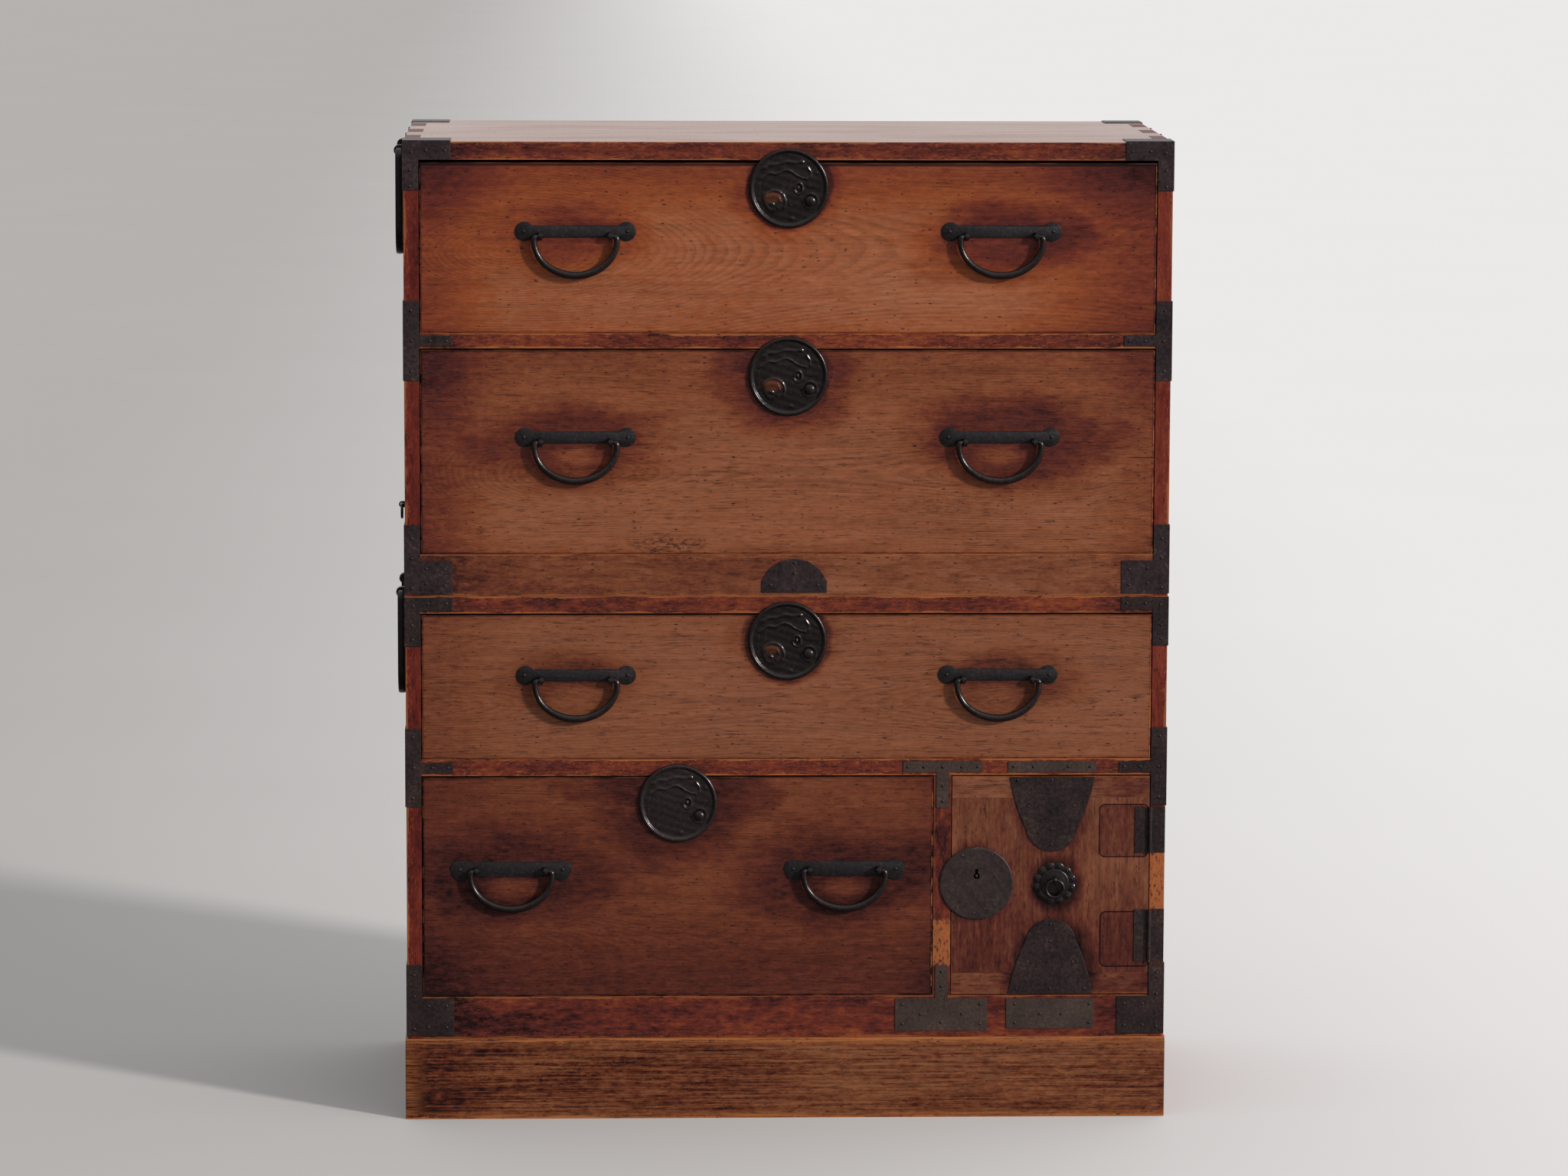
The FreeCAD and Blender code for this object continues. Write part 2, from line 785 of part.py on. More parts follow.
def half_moon():
    low = upper_base + half_moon_edge
    left = half_moon_centre - half_moon_width / 2
    right = half_moon_centre + half_moon_width / 2
    flank = low + half_moon_flank
    corners = [xz(left, low), xz(right, low), xz(right, flank)]
    corners += curve(corners[-1], xz(half_moon_centre, low + half_moon_height), xz(left, flank))
    return sheet(corners, front, iron)


def lower_corner_irons():
    leg_x = half_width - iron_leg
    top = upper_base - lower_corner_edge
    head = corner_iron([(leg_x, top - lower_corner_leg_height, top),
                        (inner_half, top - lower_corner_drop, top)],
                       top - lower_corner_drop, top, side_leaf)
    middle = (lower_shelf_under + lower_shelf_top) / 2
    tee = corner_iron([(leg_x, middle - mid_leg_height / 2, middle + mid_leg_height / 2),
                       (inner_half, middle - mid_iron_length / 2, middle + mid_iron_length / 2)],
                      middle - mid_iron_length / 2, middle + mid_iron_length / 2, side_leaf / 2)
    foot_low = lower_base + lower_foot_edge
    foot = corner_iron([(leg_x, foot_low, foot_low + lower_foot_height),
                        (inner_half, foot_low, foot_low + lower_foot_rise)],
                       foot_low, foot_low + lower_foot_rise, side_leaf)
    irons = [fuse(head), fuse(tee), fuse(foot), rear_iron(top, lower_corner_drop, False)]
    return irons + [mirrored(i) for i in irons]


def divider_irons():
    """The tees at both ends of the divider, and the plates above and below the door."""
    rail_middle = (lower_shelf_under + lower_shelf_top) / 2
    bar_low = rail_middle - tee_bar_height / 2
    bar_high = rail_middle + tee_bar_height / 2

    def strip(centre, width, z0, z1):
        return box(centre - width / 2, centre + width / 2, front - iron, front, z0, z1)

    top_tee = fuse([strip(divider_centre, tee_bar_width, bar_low, bar_high),
                    strip(divider_centre, tee_stem_width, lower_shelf_under - tee_stem_drop, bar_high)])
    foot_low = lower_base + tee_foot_edge
    foot_tee = fuse([strip(divider_centre, tee_foot_width, foot_low, foot_low + tee_foot_height),
                     strip(divider_centre, tee_stem_width, foot_low, lower_floor + tee_foot_stem)])
    above = strip(rail_plate_centre, rail_plate_width, bar_low, bar_high)
    low = lower_base + low_plate_edge
    below = strip(rail_plate_centre, rail_plate_width, low, low + low_plate_height)
    return [top_tee, foot_tee, above, below]


# Door

door_left = divider_right + door_side_gap
door_right = inner_half - door_side_gap
door_low = lower_floor + door_height_gap
door_high = lower_shelf_under - door_height_gap
door_face = front - door_proud
door_back = door_face + door_thickness
door_middle = lower_floor + door_fitting_height


def door_battens():
    """The two end battens, grooved for the tongues of the door board."""
    groove = (door_thickness - door_tongue) / 2
    battens = []
    for low, high, z0, z1 in (
            (door_low, door_low + door_batten_height,
             door_low + door_batten_height - door_tongue, door_low + door_batten_height),
            (door_high - door_batten_height, door_high,
             door_high - door_batten_height, door_high - door_batten_height + door_tongue)):
        batten = box(door_left, door_right, door_face, door_back, low, high)
        battens.append(batten.cut(box(door_left, door_right, door_face + groove, door_back - groove, z0, z1)))
    return battens


upper_hinge_top = lower_shelf_under - upper_hinge_drop
lower_hinge_low = lower_floor + lower_hinge_rise
hinges = [(upper_hinge_top - upper_hinge_height, upper_hinge_top),
          (lower_hinge_low, lower_hinge_low + lower_hinge_height)]


def door_board():
    groove = (door_thickness - door_tongue) / 2
    z0 = door_low + door_batten_height
    z1 = door_high - door_batten_height
    board = box(door_left, door_right, door_face, door_back, z0, z1)
    tongues = [box(door_left, door_right, door_face + groove, door_back - groove, z0 - door_tongue, z0),
               box(door_left, door_right, door_face + groove, door_back - groove, z1, z1 + door_tongue)]
    return fuse([board] + tongues)


def shield(centre, base, direction):
    """A tapered plate with a round end, standing on its wide edge."""
    half = shield_width / 2
    neck = half * 3 / 5
    shoulder = base + direction * shield_height * 7 / 10
    waist = base + direction * shield_height * 7 / 20
    bow = (half + neck) / 2 + shield_width / 40
    side = [xz(half, base)]
    side += curve(side[0], xz(bow, waist), xz(neck, shoulder))
    side += curve(side[-1], xz(neck * math.sqrt(3) / 2, base + direction * (shield_height - neck / 2)),
                  xz(0, base + direction * shield_height))
    other = [xz(-corner.x, corner.z) for corner in reversed(side[:-1])]
    plate = sheet(side + other, door_face, iron)
    plate.translate(X_AXIS * centre)
    return plate


def door_shields():
    return [shield(rail_plate_centre, door_high - shield_edge, -1),
            shield(rail_plate_centre, door_low + shield_edge, 1)]


hinge_x = inner_half
hinge_y = door_face - hinge_barrel_radius - hinge_gap
knuckle_bore = hinge_pin_radius + pin_clearance


def knuckles(low, high, start):
    """Every other knuckle of a hinge, beginning with the one numbered start."""
    pitch = (high - low) / hinge_knuckle_count
    cut = prism(knuckle_bore, Vector(hinge_x, hinge_y, low - overrun), Z_AXIS,
                high - low + 2 * overrun, bar_sides)
    parts = []
    for i in range(start, hinge_knuckle_count, 2):
        base = low + i * pitch + hinge_gap / 2
        ring = prism(hinge_barrel_radius, Vector(hinge_x, hinge_y, base), Z_AXIS, pitch - hinge_gap,
                     small_sides)
        parts.append(ring.cut(cut))
    return parts


def hinge_leaf(low, high, x0, x1, face, start):
    """A leaf on the front plane with its tabs rolled into knuckles."""
    pitch = (high - low) / hinge_knuckle_count
    leaf = box(x0, x1, face - iron, face, low, high)
    bore = prism(knuckle_bore, Vector(hinge_x, hinge_y, low), Z_AXIS, high - low, bar_sides)
    tabs = []
    near = x1 if x1 < hinge_x else x0
    for i in range(start, hinge_knuckle_count, 2):
        base = low + i * pitch + hinge_gap / 2
        tabs.append(box(min(near, hinge_x), max(near, hinge_x), hinge_y + hinge_barrel_radius - iron,
                        face, base, base + pitch - hinge_gap))
    return fuse([leaf] + tabs + knuckles(low, high, start)).cut(bore)


def door_hinge_leaves():
    near = hinge_x - hinge_leaf_inset
    return [hinge_leaf(low, high, near - hinge_leaf_width, near, door_face, 1) for low, high in hinges]


def frame_hinge_leaves():
    """The leaves on the side board with their pins."""
    near = hinge_x + hinge_leaf_inset
    parts = []
    for low, high in hinges:
        parts.append(hinge_leaf(low, high, near, half_width, front, 0))
        pin = hinge_pin_radius * math.cos(math.pi / bar_sides)
        parts.append(prism(pin, Vector(hinge_x, hinge_y, low), Z_AXIS, high - low, bar_sides))
    return parts


def door_lock_plate():
    centre = Vector(door_lock_centre, door_face, door_middle)
    plate = prism(door_lock_radius, centre, -Y_AXIS, door_lock_thickness, disc_sides)
    return plate.cut(keyhole(centre + Z_AXIS * door_keyhole_rise, 2 * door_lock_thickness))


def ring_eye(centre, out, along, standoff, bar, plate):
    """The eye that a ring hangs from, standing on a plate."""
    bore = bar + ring_clearance
    return eye(centre + out * plate, out, along, standoff + bar, bore + ring_eye_wall, bore, ring_eye_width)


door_eye = Vector(rosette_centre, door_face, door_middle + ring_rise)
door_ring_plate = rosette_thickness + rosette_boss_height


def door_rosette():
    """A lobed rosette with a domed boss, and the eye that holds the ring."""
    corners = []
    for i in range(disc_sides):
        turn = 2 * math.pi * i / disc_sides
        radius = rosette_radius - rosette_lobe_bulge * abs(math.cos(rosette_lobes * turn / 2))
        corners.append(xz(rosette_centre + radius * math.cos(turn), door_middle + radius * math.sin(turn)))
    petals = sheet(corners, door_face, rosette_thickness)
    boss_base = Vector(rosette_centre, door_face - rosette_thickness, door_middle)
    boss = stacked([(rosette_boss_radius, 0), (rosette_boss_radius * 4 / 5, rosette_boss_height * 3 / 5),
                    (rosette_boss_radius * 2 / 3, rosette_boss_height)], boss_base, -Y_AXIS, 2 * small_sides)
    eye = ring_eye(door_eye, -Y_AXIS, X_AXIS, ring_standoff, ring_bar, door_ring_plate)
    return fuse([petals, boss, eye])


def hanging_ring(eye, out_axis, along, plate, standoff, bar, radius):
    """A closed ring through an eye, hanging flat against its plate."""
    pivot = eye + out_axis * (plate + standoff + bar)
    plane = Plane(pivot - Z_AXIS * radius, along, Z_AXIS)
    return plane.bar(arc_points((0, 0), radius, 0, 360, ring_steps)[:-1], bar, True)


def door_ring():
    return hanging_ring(door_eye, -Y_AXIS, X_AXIS, door_ring_plate, ring_standoff, ring_bar, ring_radius)


# Carrying handles on the sides

pole_middle = (front + rear) / 2
pole_out = pole_plate_thickness + pole_standoff + pole_bar_radius
pole_post_offset = pole_half_width - pole_bar_radius - pole_post_inset


def pole_post(side, y, height):
    """A round plate with a bored eye standing from it, on one side of a case."""
    face = side * half_width
    out = Vector(side, 0, 0)
    plate = prism(pole_plate_radius, Vector(face, y, height), out, pole_plate_thickness, 2 * small_sides)
    post = eye(Vector(face + side * pole_plate_thickness, y, height), out, Y_AXIS,
               pole_out - pole_plate_thickness, pole_post_radius, pole_pin_radius + pin_clearance,
               pole_post_width)
    return fuse([plate, post])


def pole_posts(height):
    return [pole_post(side, pole_middle + k * pole_post_offset, height)
            for side in (-1, 1) for k in (-1, 1)]


def pole_handle(side, height):
    """A deep U of heavy bar that hangs from its eyes and swings up past the top."""
    origin = Vector(side * (half_width + pole_out), pole_middle, height)
    pin_end = pole_post_offset - pole_post_width / 2 - pole_pin_overhang
    bend_start = pole_half_width - pole_corner
    pin_start = bend_start - pole_lead
    low_start = pole_half_width - pole_low_corner
    low_bend = pole_low_corner - pole_drop
    plane = Plane(origin, Y_AXIS, Z_AXIS)
    half = [(pin_start, 0)] + arc_points((bend_start, -pole_corner), pole_corner, 90, 0, corner_steps)
    half += arc_points((low_start, low_bend), pole_low_corner, 0, -90, side_steps)
    parts = [plane.bar(half + [(-a, b) for a, b in reversed(half)], pole_bar_radius)]
    for s in (-1, 1):
        parts.append(plane.pin((s * pin_end, 0), (s * pin_start, 0), pole_pin_radius))
    return fuse(parts)


side_eye = Vector(-half_width, front + side_ring_setback, upper_base + side_ring_height)


def side_ring_post():
    washer = prism(side_ring_plate, side_eye, -X_AXIS, iron, small_sides)
    eye = ring_eye(side_eye, -X_AXIS, Y_AXIS, side_ring_standoff, side_ring_bar, iron)
    return fuse([washer, eye])


def side_ring():
    return hanging_ring(side_eye, -X_AXIS, Y_AXIS, iron, side_ring_standoff, side_ring_bar,
                        side_ring_radius)


# Nodes

upper_pole_height = chest_top - upper_pole_below_top
lower_pole_height = upper_base - lower_pole_below_top

nodes = {
    "plinth_long_boards": plinth_long_boards(),
    "plinth_side_boards": plinth_side_boards(),
    "plinth_cross_boards": plinth_cross_boards(),
    "lower_side_boards": side_boards(lower_base, upper_base, lower_top_thickness,
                                     [(lower_floor, bottom_board_thickness),
                                      (lower_shelf_top, dust_board_thickness)]),
    "lower_top_board": [top_board(upper_base, lower_top_thickness)],
    "lower_back_boards": back_boards(lower_base, lower_top_under),
    "lower_bottom_boards": bottom_boards(lower_base, lower_floor),
    "lower_shelf": shelf(lower_shelf_under, lower_shelf_top),
    "lower_divider": [divider()],
    "lower_corner_irons": lower_corner_irons(),
    "divider_irons": divider_irons(),
    "lower_pole_posts": pole_posts(lower_pole_height),
    "inner_shelves": inner_shelves(),
    "inner_drawer_fronts": [inner_drawer_parts(i)[0] for i in range(inner_drawer_count)],
    "inner_drawer_boxes": [p for i in range(inner_drawer_count) for p in inner_drawer_parts(i)[1]],
    "inner_drawer_pulls": [inner_pull(i) for i in range(inner_drawer_count)],
    "frame_hinge_leaves": frame_hinge_leaves(),
    "door_board": [door_board()],
    "door_end_battens": door_battens(),
    "door_shields": door_shields(),
    "door_hinge_leaves": door_hinge_leaves(),
    "door_lock_plate": [door_lock_plate()],
    "door_rosette": [door_rosette()],
    "door_ring": [door_ring()],
    "upper_side_boards": side_boards(upper_base, chest_top, upper_top_thickness,
                                     [(upper_floor, bottom_board_thickness),
                                      (upper_shelf_top, dust_board_thickness)]),
    "upper_top_board": [top_board(chest_top, upper_top_thickness)],
    "upper_back_boards": back_boards(upper_base, upper_top_under),
    "upper_bottom_boards": bottom_boards(upper_base, upper_floor),
    "upper_shelf": shelf(upper_shelf_under, upper_shelf_top),
    "upper_irons": upper_corner_irons(),
    "upper_pole_posts": pole_posts(upper_pole_height) + [side_ring_post()],
    "side_ring": [side_ring()],
}

for level, height in (("upper", upper_pole_height), ("lower", lower_pole_height)):
    nodes[level + "_pole_handle_left"] = [pole_handle(-1, height)]
    nodes[level + "_pole_handle_right"] = [pole_handle(1, height)]

for d in drawers:
    nodes[d.name + "_front"] = [drawer_front(d)]
    nodes[d.name + "_box"] = drawer_box(d)
    nodes[d.name + "_irons"] = drawer_irons(d)
    nodes[d.name + "_lock_button"] = [lock_button(d)]
    nodes[d.name + "_bail_left"] = [bail(d.centre - d.spacing / 2, d.face, d.pivot)]
    nodes[d.name + "_bail_right"] = [bail(d.centre + d.spacing / 2, d.face, d.pivot)]

os.makedirs("parts", exist_ok=True)
for name, solids in nodes.items():
    shape = solids[0] if len(solids) == 1 else Part.makeCompound(solids)
    shape.exportStep("parts/" + name + ".step")
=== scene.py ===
import json
from math import asin, atan2, cos, degrees, exp, hypot, pi, radians, sin, sqrt

import bmesh
import bpy
from mathutils import Matrix, Vector


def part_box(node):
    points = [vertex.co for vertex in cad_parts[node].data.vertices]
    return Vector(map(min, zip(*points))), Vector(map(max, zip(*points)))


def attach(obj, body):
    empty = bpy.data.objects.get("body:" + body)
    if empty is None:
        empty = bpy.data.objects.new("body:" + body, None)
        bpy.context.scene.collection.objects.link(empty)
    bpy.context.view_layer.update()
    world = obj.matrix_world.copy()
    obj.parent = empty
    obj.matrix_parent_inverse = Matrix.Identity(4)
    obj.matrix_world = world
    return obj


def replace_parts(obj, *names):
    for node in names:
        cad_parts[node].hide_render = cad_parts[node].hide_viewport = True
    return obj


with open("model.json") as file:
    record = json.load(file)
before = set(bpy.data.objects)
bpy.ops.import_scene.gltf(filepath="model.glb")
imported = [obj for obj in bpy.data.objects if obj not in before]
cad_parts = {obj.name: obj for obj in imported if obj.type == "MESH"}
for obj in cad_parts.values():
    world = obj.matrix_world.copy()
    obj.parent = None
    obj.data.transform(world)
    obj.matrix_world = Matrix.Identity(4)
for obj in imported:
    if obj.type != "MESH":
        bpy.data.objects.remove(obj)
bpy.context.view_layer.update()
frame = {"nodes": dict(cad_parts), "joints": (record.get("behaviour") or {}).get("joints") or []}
nodes = frame["nodes"]
pivots = {j["name"]: Vector(j["pos_m"]) for j in frame["joints"] if "pos_m" in j}
MM = 0.001
X, Y, Z = Vector((1, 0, 0)), Vector((0, 1, 0)), Vector((0, 0, 1))

# Planes that the fittings sit on
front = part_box("upper_shelf")[0].y
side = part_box("upper_side_boards")[1].x
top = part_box("upper_top_board")[1].z


# Materials

def tone(red, green, blue):
    """A screen colour as the linear colour that a shader takes."""
    linear = [c / 12.92 if c <= 0.04045 else ((c + 0.055) / 1.055) ** 2.4
              for c in (red / 255, green / 255, blue / 255)]
    return (*linear, 1.0)


class Graph:
    """The nodes of one material; x, y and z are metres in the frame."""

    def __init__(self, name):
        self.material = bpy.data.materials.new(name)
        self.material.use_nodes = True
        self.tree = self.material.node_tree
        self.tree.nodes.clear()
        self.shader = self.make("ShaderNodeBsdfPrincipled")
        out = self.make("ShaderNodeOutputMaterial")
        self.tree.links.new(self.shader.outputs[0], out.inputs["Surface"])
        self.place = self.make("ShaderNodeTexCoord").outputs["Object"]
        self.x, self.y, self.z = self.make("ShaderNodeSeparateXYZ", self.place).outputs

    def feed(self, socket, value):
        if isinstance(value, bpy.types.NodeSocket):
            self.tree.links.new(value, socket)
        else:
            socket.default_value = value

    def make(self, kind, *values, **settings):
        node = self.tree.nodes.new(kind)
        for key, value in settings.items():
            setattr(node, key, value)
        for socket, value in zip(node.inputs, values):
            self.feed(socket, value)
        return node

    def math(self, operation, a, b=0.0, c=0.0):
        return self.make("ShaderNodeMath", a, b, c, operation=operation).outputs[0]

    def add(self, a, b):
        return self.math("ADD", a, b)

    def sub(self, a, b):
        return self.math("SUBTRACT", a, b)

    def mul(self, a, b):
        return self.math("MULTIPLY", a, b)

    def fold(self, operation, values):
        found = values[0]
        for value in values[1:]:
            found = self.math(operation, found, value)
        return found

    def most(self, *values):
        return self.fold("MAXIMUM", values)

    def least(self, *values):
        return self.fold("MINIMUM", values)

    def absolute(self, a):
        return self.math("ABSOLUTE", a)

    def length(self, a, b):
        """The length of a step of a one way and b across it."""
        return self.math("SQRT", self.add(self.mul(a, a), self.mul(b, b)))

    def swing(self, value, amount):
        """A value from 0 to 1 as one round 0 that is amount from end to end."""
        return self.mul(self.sub(value, 0.5), amount)

    def clamp(self, a):
        return self.make("ShaderNodeClamp", a, 0.0, 1.0).outputs[0]

    def fade(self, value, start, end, low=0.0, high=1.0):
        """A smooth step from low to high while value goes from start to end."""
        return self.make("ShaderNodeMapRange", value, start, end, low, high,
                         interpolation_type="SMOOTHSTEP").outputs[0]

    def noise(self, scale, detail, rough, shift):
        """Noise with its own scale along each axis, in features per metre."""
        mapped = self.make("ShaderNodeMapping", self.place,
                           (shift, shift * 1.7, shift * 0.6), (0, 0, 0), scale)
        node = self.make("ShaderNodeTexNoise", mapped.outputs[0])
        for key, value in (("Scale", 1.0), ("Detail", detail), ("Roughness", rough)):
            node.inputs[key].default_value = value
        return node.outputs["Fac"]

    def specks(self, scale, size, share, shift):
        """Small spots, 1 inside, scattered over a share of the cells."""
        mapped = self.make("ShaderNodeMapping", self.place,
                           (shift, shift, shift), (0, 0, 0), scale)
        node = self.make("ShaderNodeTexVoronoi", mapped.outputs[0])
        node.inputs["Scale"].default_value = 1.0
        red = self.make("ShaderNodeSeparateColor", node.outputs["Color"]).outputs[0]
        spot = self.fade(node.outputs["Distance"], size, size * 0.4)
        return self.mul(spot, self.fade(red, share, share * 0.9))

    def halo(self, spot, size, wander, inner, reach=1.0):
        """1 round a spot on the front, fading to 0 at the edge of an ellipse."""
        away = self.make("ShaderNodeVectorMath", self.place, (spot[0], 0, spot[1]),
                         operation="SUBTRACT").outputs[0]
        shrink = (1 / (size[0] * reach), 0, 1 / (size[1] * reach))
        scaled = self.make("ShaderNodeVectorMath", away, shrink, operation="MULTIPLY").outputs[0]
        length = self.make("ShaderNodeVectorMath", scaled, operation="LENGTH").outputs["Value"]
        return self.fade(self.add(length, wander), 1.0, inner)

    def mix(self, factor, a, b, blend="MIX"):
        node = self.make("ShaderNodeMix", data_type="RGBA", blend_type=blend)
        for index, value in ((0, factor), (6, a), (7, b)):
            self.feed(node.inputs[index], value)
        return node.outputs[2]

    def ramp(self, value, stops):
        node = self.make("ShaderNodeValToRGB", value)
        band = node.color_ramp
        while len(band.elements) < len(stops):
            band.elements.new(0.5)
        for element, (place, colour) in zip(band.elements, stops):
            element.position = place
            element.color = colour
        return node.outputs[0]

    def grey(self, value):
        return self.make("ShaderNodeCombineColor", value, value, value).outputs[0]

    def finish(self, colour, rough, height=None, depth=0.0003, strength=0.6, shine=0.16):
        self.feed(self.shader.inputs["Base Color"], colour)
        self.feed(self.shader.inputs["Roughness"], rough)
        self.shader.inputs["Specular IOR Level"].default_value = shine
        if height is not None:
            bump = self.make("ShaderNodeBump")
            bump.inputs["Strength"].default_value = strength
            bump.inputs["Distance"].default_value = depth
            self.feed(bump.inputs["Height"], height)
            self.tree.links.new(bump.outputs[0], self.shader.inputs["Normal"])
        return self.material


bare = tone(190, 120, 66)
# The darkest lacquer and dirt, and also the colour of the painted shadow band along the drawer
# fronts' top edges
soot_and_shadow = tone(26, 10, 10)


def film_tones(worn, mid, red, dark):
    """The colours of a board from worn bare to thick old lacquer."""
    return [(0.0, tone(*worn)), (0.32, tone(*mid)), (0.6, tone(*red)), (0.82, tone(*dark)),
            (1.0, soot_and_shadow)]


lacquer_stops = film_tones((142, 88, 60), (126, 62, 30), (96, 39, 27), (66, 26, 24))
bare_rough, film_rough = 0.54, 0.38  # the roughness of bare and of lacquered wood


class Wood(Graph):
    """Softwood: growth rings round a heart, fibres, and what is on its surface.

    axes run along the grain, across the board and through it; heart is where the rings bow
    from, the heart's place across and through, and its bow; pitch is the width of a ring.
    """

    def __init__(self, name, axes, heart, pitch, seed, mirror=False):
        super().__init__(name)
        self.axes = axes
        self.own_x = self.x
        if mirror:
            self.x = self.absolute(self.x)
        along, across, depth = (getattr(self, a) for a in axes)
        start, line, deep, bow = heart
        away = self.sub(along, start)
        drift = self.grain(5.0, 1.3, 2.0, 0.5, seed)
        a = self.add(self.sub(across, line), self.swing(drift, 0.036))
        d = self.add(self.sub(depth, deep), self.mul(self.mul(away, away), bow))
        radius = self.length(a, d)
        waver = self.grain(70.0, 7.0, 2.0, 0.5, seed + 3)
        spacing = self.noise((3.0, 3.0, 3.0), 2.0, 0.5, seed + 9)
        phase = self.add(self.math("DIVIDE", radius, pitch), self.mul(waver, 0.9))
        ring = self.math("FRACT", self.add(phase, self.mul(spacing, 5.0)))
        shows = self.fade(self.grain(16.0, 5.0, 2.0, 0.5, seed + 21), 0.38, 0.62, 0.25, 1.0)
        band = self.mul(self.fade(ring, 0.25, 0.9), self.fade(ring, 1.0, 0.92))
        self.late = self.mul(band, shows)
        self.fibre = self.grain(900.0, 12.0, 2.0, 0.6, seed + 5)
        self.streak = self.grain(150.0, 5.0, 3.0, 0.6, seed + 7)
        self.cloud = self.grain(9.0, 4.0, 3.0, 0.55, seed + 11)
        self.seed = seed
        self.painted_glare = None

    def stretch(self, fine, long):
        """Scales that draw a pattern out along the grain."""
        return tuple(long if a == self.axes[0] else fine for a in "xyz")

    def grain(self, fine, long, detail, rough, shift):
        """Noise drawn out along the grain."""
        return self.noise(self.stretch(fine, long), detail, rough, shift)

    def margins(self, box):
        """The distances to the left, right, top and bottom edge of a board on the front."""
        low, high = box
        return (self.sub(self.x, low.x), self.sub(high.x, self.x),
                self.sub(high.z, self.z), self.sub(self.z, low.z))

    def edge(self, box, sides):
        """The distance to the nearest edge; a 0 leaves a side out."""
        return self.least(*[value for keep, value in zip(sides, self.margins(box)) if keep])

    def lacquered(self, film, stops, bright, scars_and_shadow, mottled, dashed=0.66, figure=(0.19, 0.10)):
        """Colour, roughness and bump from how much old lacquer is left; bright is bare wood."""
        mottle = self.grain(190.0, 80.0, 4.0, 0.72, self.seed + 19)
        film = self.clamp(self.add(film, self.swing(mottle, mottled)))
        colour = self.ramp(film, stops)
        dashes = self.fade(self.grain(430.0, 40.0, 4.0, 0.75, self.seed + 23), 0.52, 0.68)
        colour = self.mix(self.mul(dashes, dashed), colour, soot_and_shadow)
        shade = self.sub(1.04, self.mul(self.late, self.fade(film, 0.0, 1.0, *figure)))
        shade = self.add(shade, self.swing(self.fibre, 0.46))
        shade = self.add(shade, self.swing(self.streak, 0.60))
        colour = self.mix(1.0, colour, self.grey(shade), "MULTIPLY")
        colour = self.mix(bright, colour, self.mix(self.streak, bare, tone(142, 78, 40)))
        # On the top face, a painted glare: pale, streaky and patchy colour that stands in for
        # bright light reflected on the lacquer
        if self.painted_glare is not None:
            glare_streaks = self.fade(self.streak, 0.1, 0.9)
            glare_colour = self.mix(glare_streaks, tone(196, 178, 171), tone(156, 128, 120))
            patchy = self.add(self.cloud, self.swing(mottle, 0.4))
            kept = self.sub(0.93, self.fade(patchy, 0.42, 0.72, 0.0, 0.30))
            colour = self.mix(self.mul(self.painted_glare, kept), colour, glare_colour)
        # The scars that the drawer fronts pass in carry a painted shadow band along their top edge,
        # drawn here with the pits in the soot colour
        pits = self.most(self.specks(self.stretch(150.0, 60.0), 0.2, 0.16, self.seed),
                         self.specks(self.stretch(330.0, 120.0), 0.3, 0.12, self.seed + 4), scars_and_shadow)
        colour = self.mix(self.mul(pits, 0.75), colour, soot_and_shadow)
        rough = self.add(self.fade(film, 0.0, 1.0, bare_rough, film_rough),
                         self.swing(self.streak, 0.25))
        height = self.sub(self.add(self.mul(self.late, 0.35), self.mul(self.fibre, 0.35)),
                          self.mul(pits, 0.8))
        return self.finish(colour, rough, height)


def dress(name, material, bevel):
    """Gives a node of the frame its material, and softens its edges."""
    obj = nodes[name]
    obj.data.materials.clear()
    obj.data.materials.append(material)
    obj.modifiers.new("weld", "WELD").merge_threshold = 0.00001
    rounded = obj.modifiers.new("edges", "BEVEL")
    rounded.width = bevel
    rounded.segments = 2
    rounded.limit_method = "ANGLE"
    rounded.angle_limit = radians(40)
    rounded.harden_normals = True


# The drawers: a lock plate's radius, how far a handle's plate lies over its pins, and the
# button's place from the lock's centre, in millimetres

lock_radius, plate_rise, button_at = 47.0, 5.5, (25.5, -15.0)


class Drawer:
    """The places that a drawer's wood and ironwork go by."""

    def __init__(self, number):
        self.name = f"drawer_{number}"
        self.flared = number == 4
        self.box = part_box(self.name + "_front")
        self.face = self.box[0].y
        self.middle = (self.box[0].x + self.box[1].x) / 2
        lock_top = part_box(self.name + "_irons")[1].z
        self.lock = Vector((self.middle, self.face, lock_top - lock_radius * MM))
        self.bails = {s: pivots[f"{self.name}_bail_{s}_swing"] for s in ("left", "right")}
        self.button = self.lock + X * (button_at[0] * MM) + Z * (button_at[1] * MM)


drawers = [Drawer(number) for number in (1, 2, 3, 4)]

# Half widths and heights of the stains on a drawer front, in metres
handle_stain, plate_stain, rubbed_spot = (0.168, 0.074), (0.106, 0.036), (0.040, 0.017)
lock_stain, rim_stain = (0.110, 0.090), (0.062, 0.060)
darkest_stain = 0.66


def soot_marks(w, wander, soft):
    """The second drawer's two sooty smudges and the short crack at its right end."""
    smudge = w.add(w.halo((-0.140, 0.6965), (0.062, 0.013), w.mul(wander, 0.8), 0.3),
                   w.mul(w.halo((0.185, 0.745), (0.095, 0.028), wander, 0.2), 0.55))
    sooty = w.fade(w.grain(300.0, 110.0, 3.0, 0.7, 19.0), 0.47, 0.58)
    split = w.absolute(w.sub(w.add(w.z, w.mul(soft, 0.004)), 0.8010))
    crack = w.mul(w.fade(split, 0.0009, 0.0004), w.fade(w.x, 0.400, 0.410))
    return w.most(w.mul(w.mul(smudge, sooty), 0.9), crack)


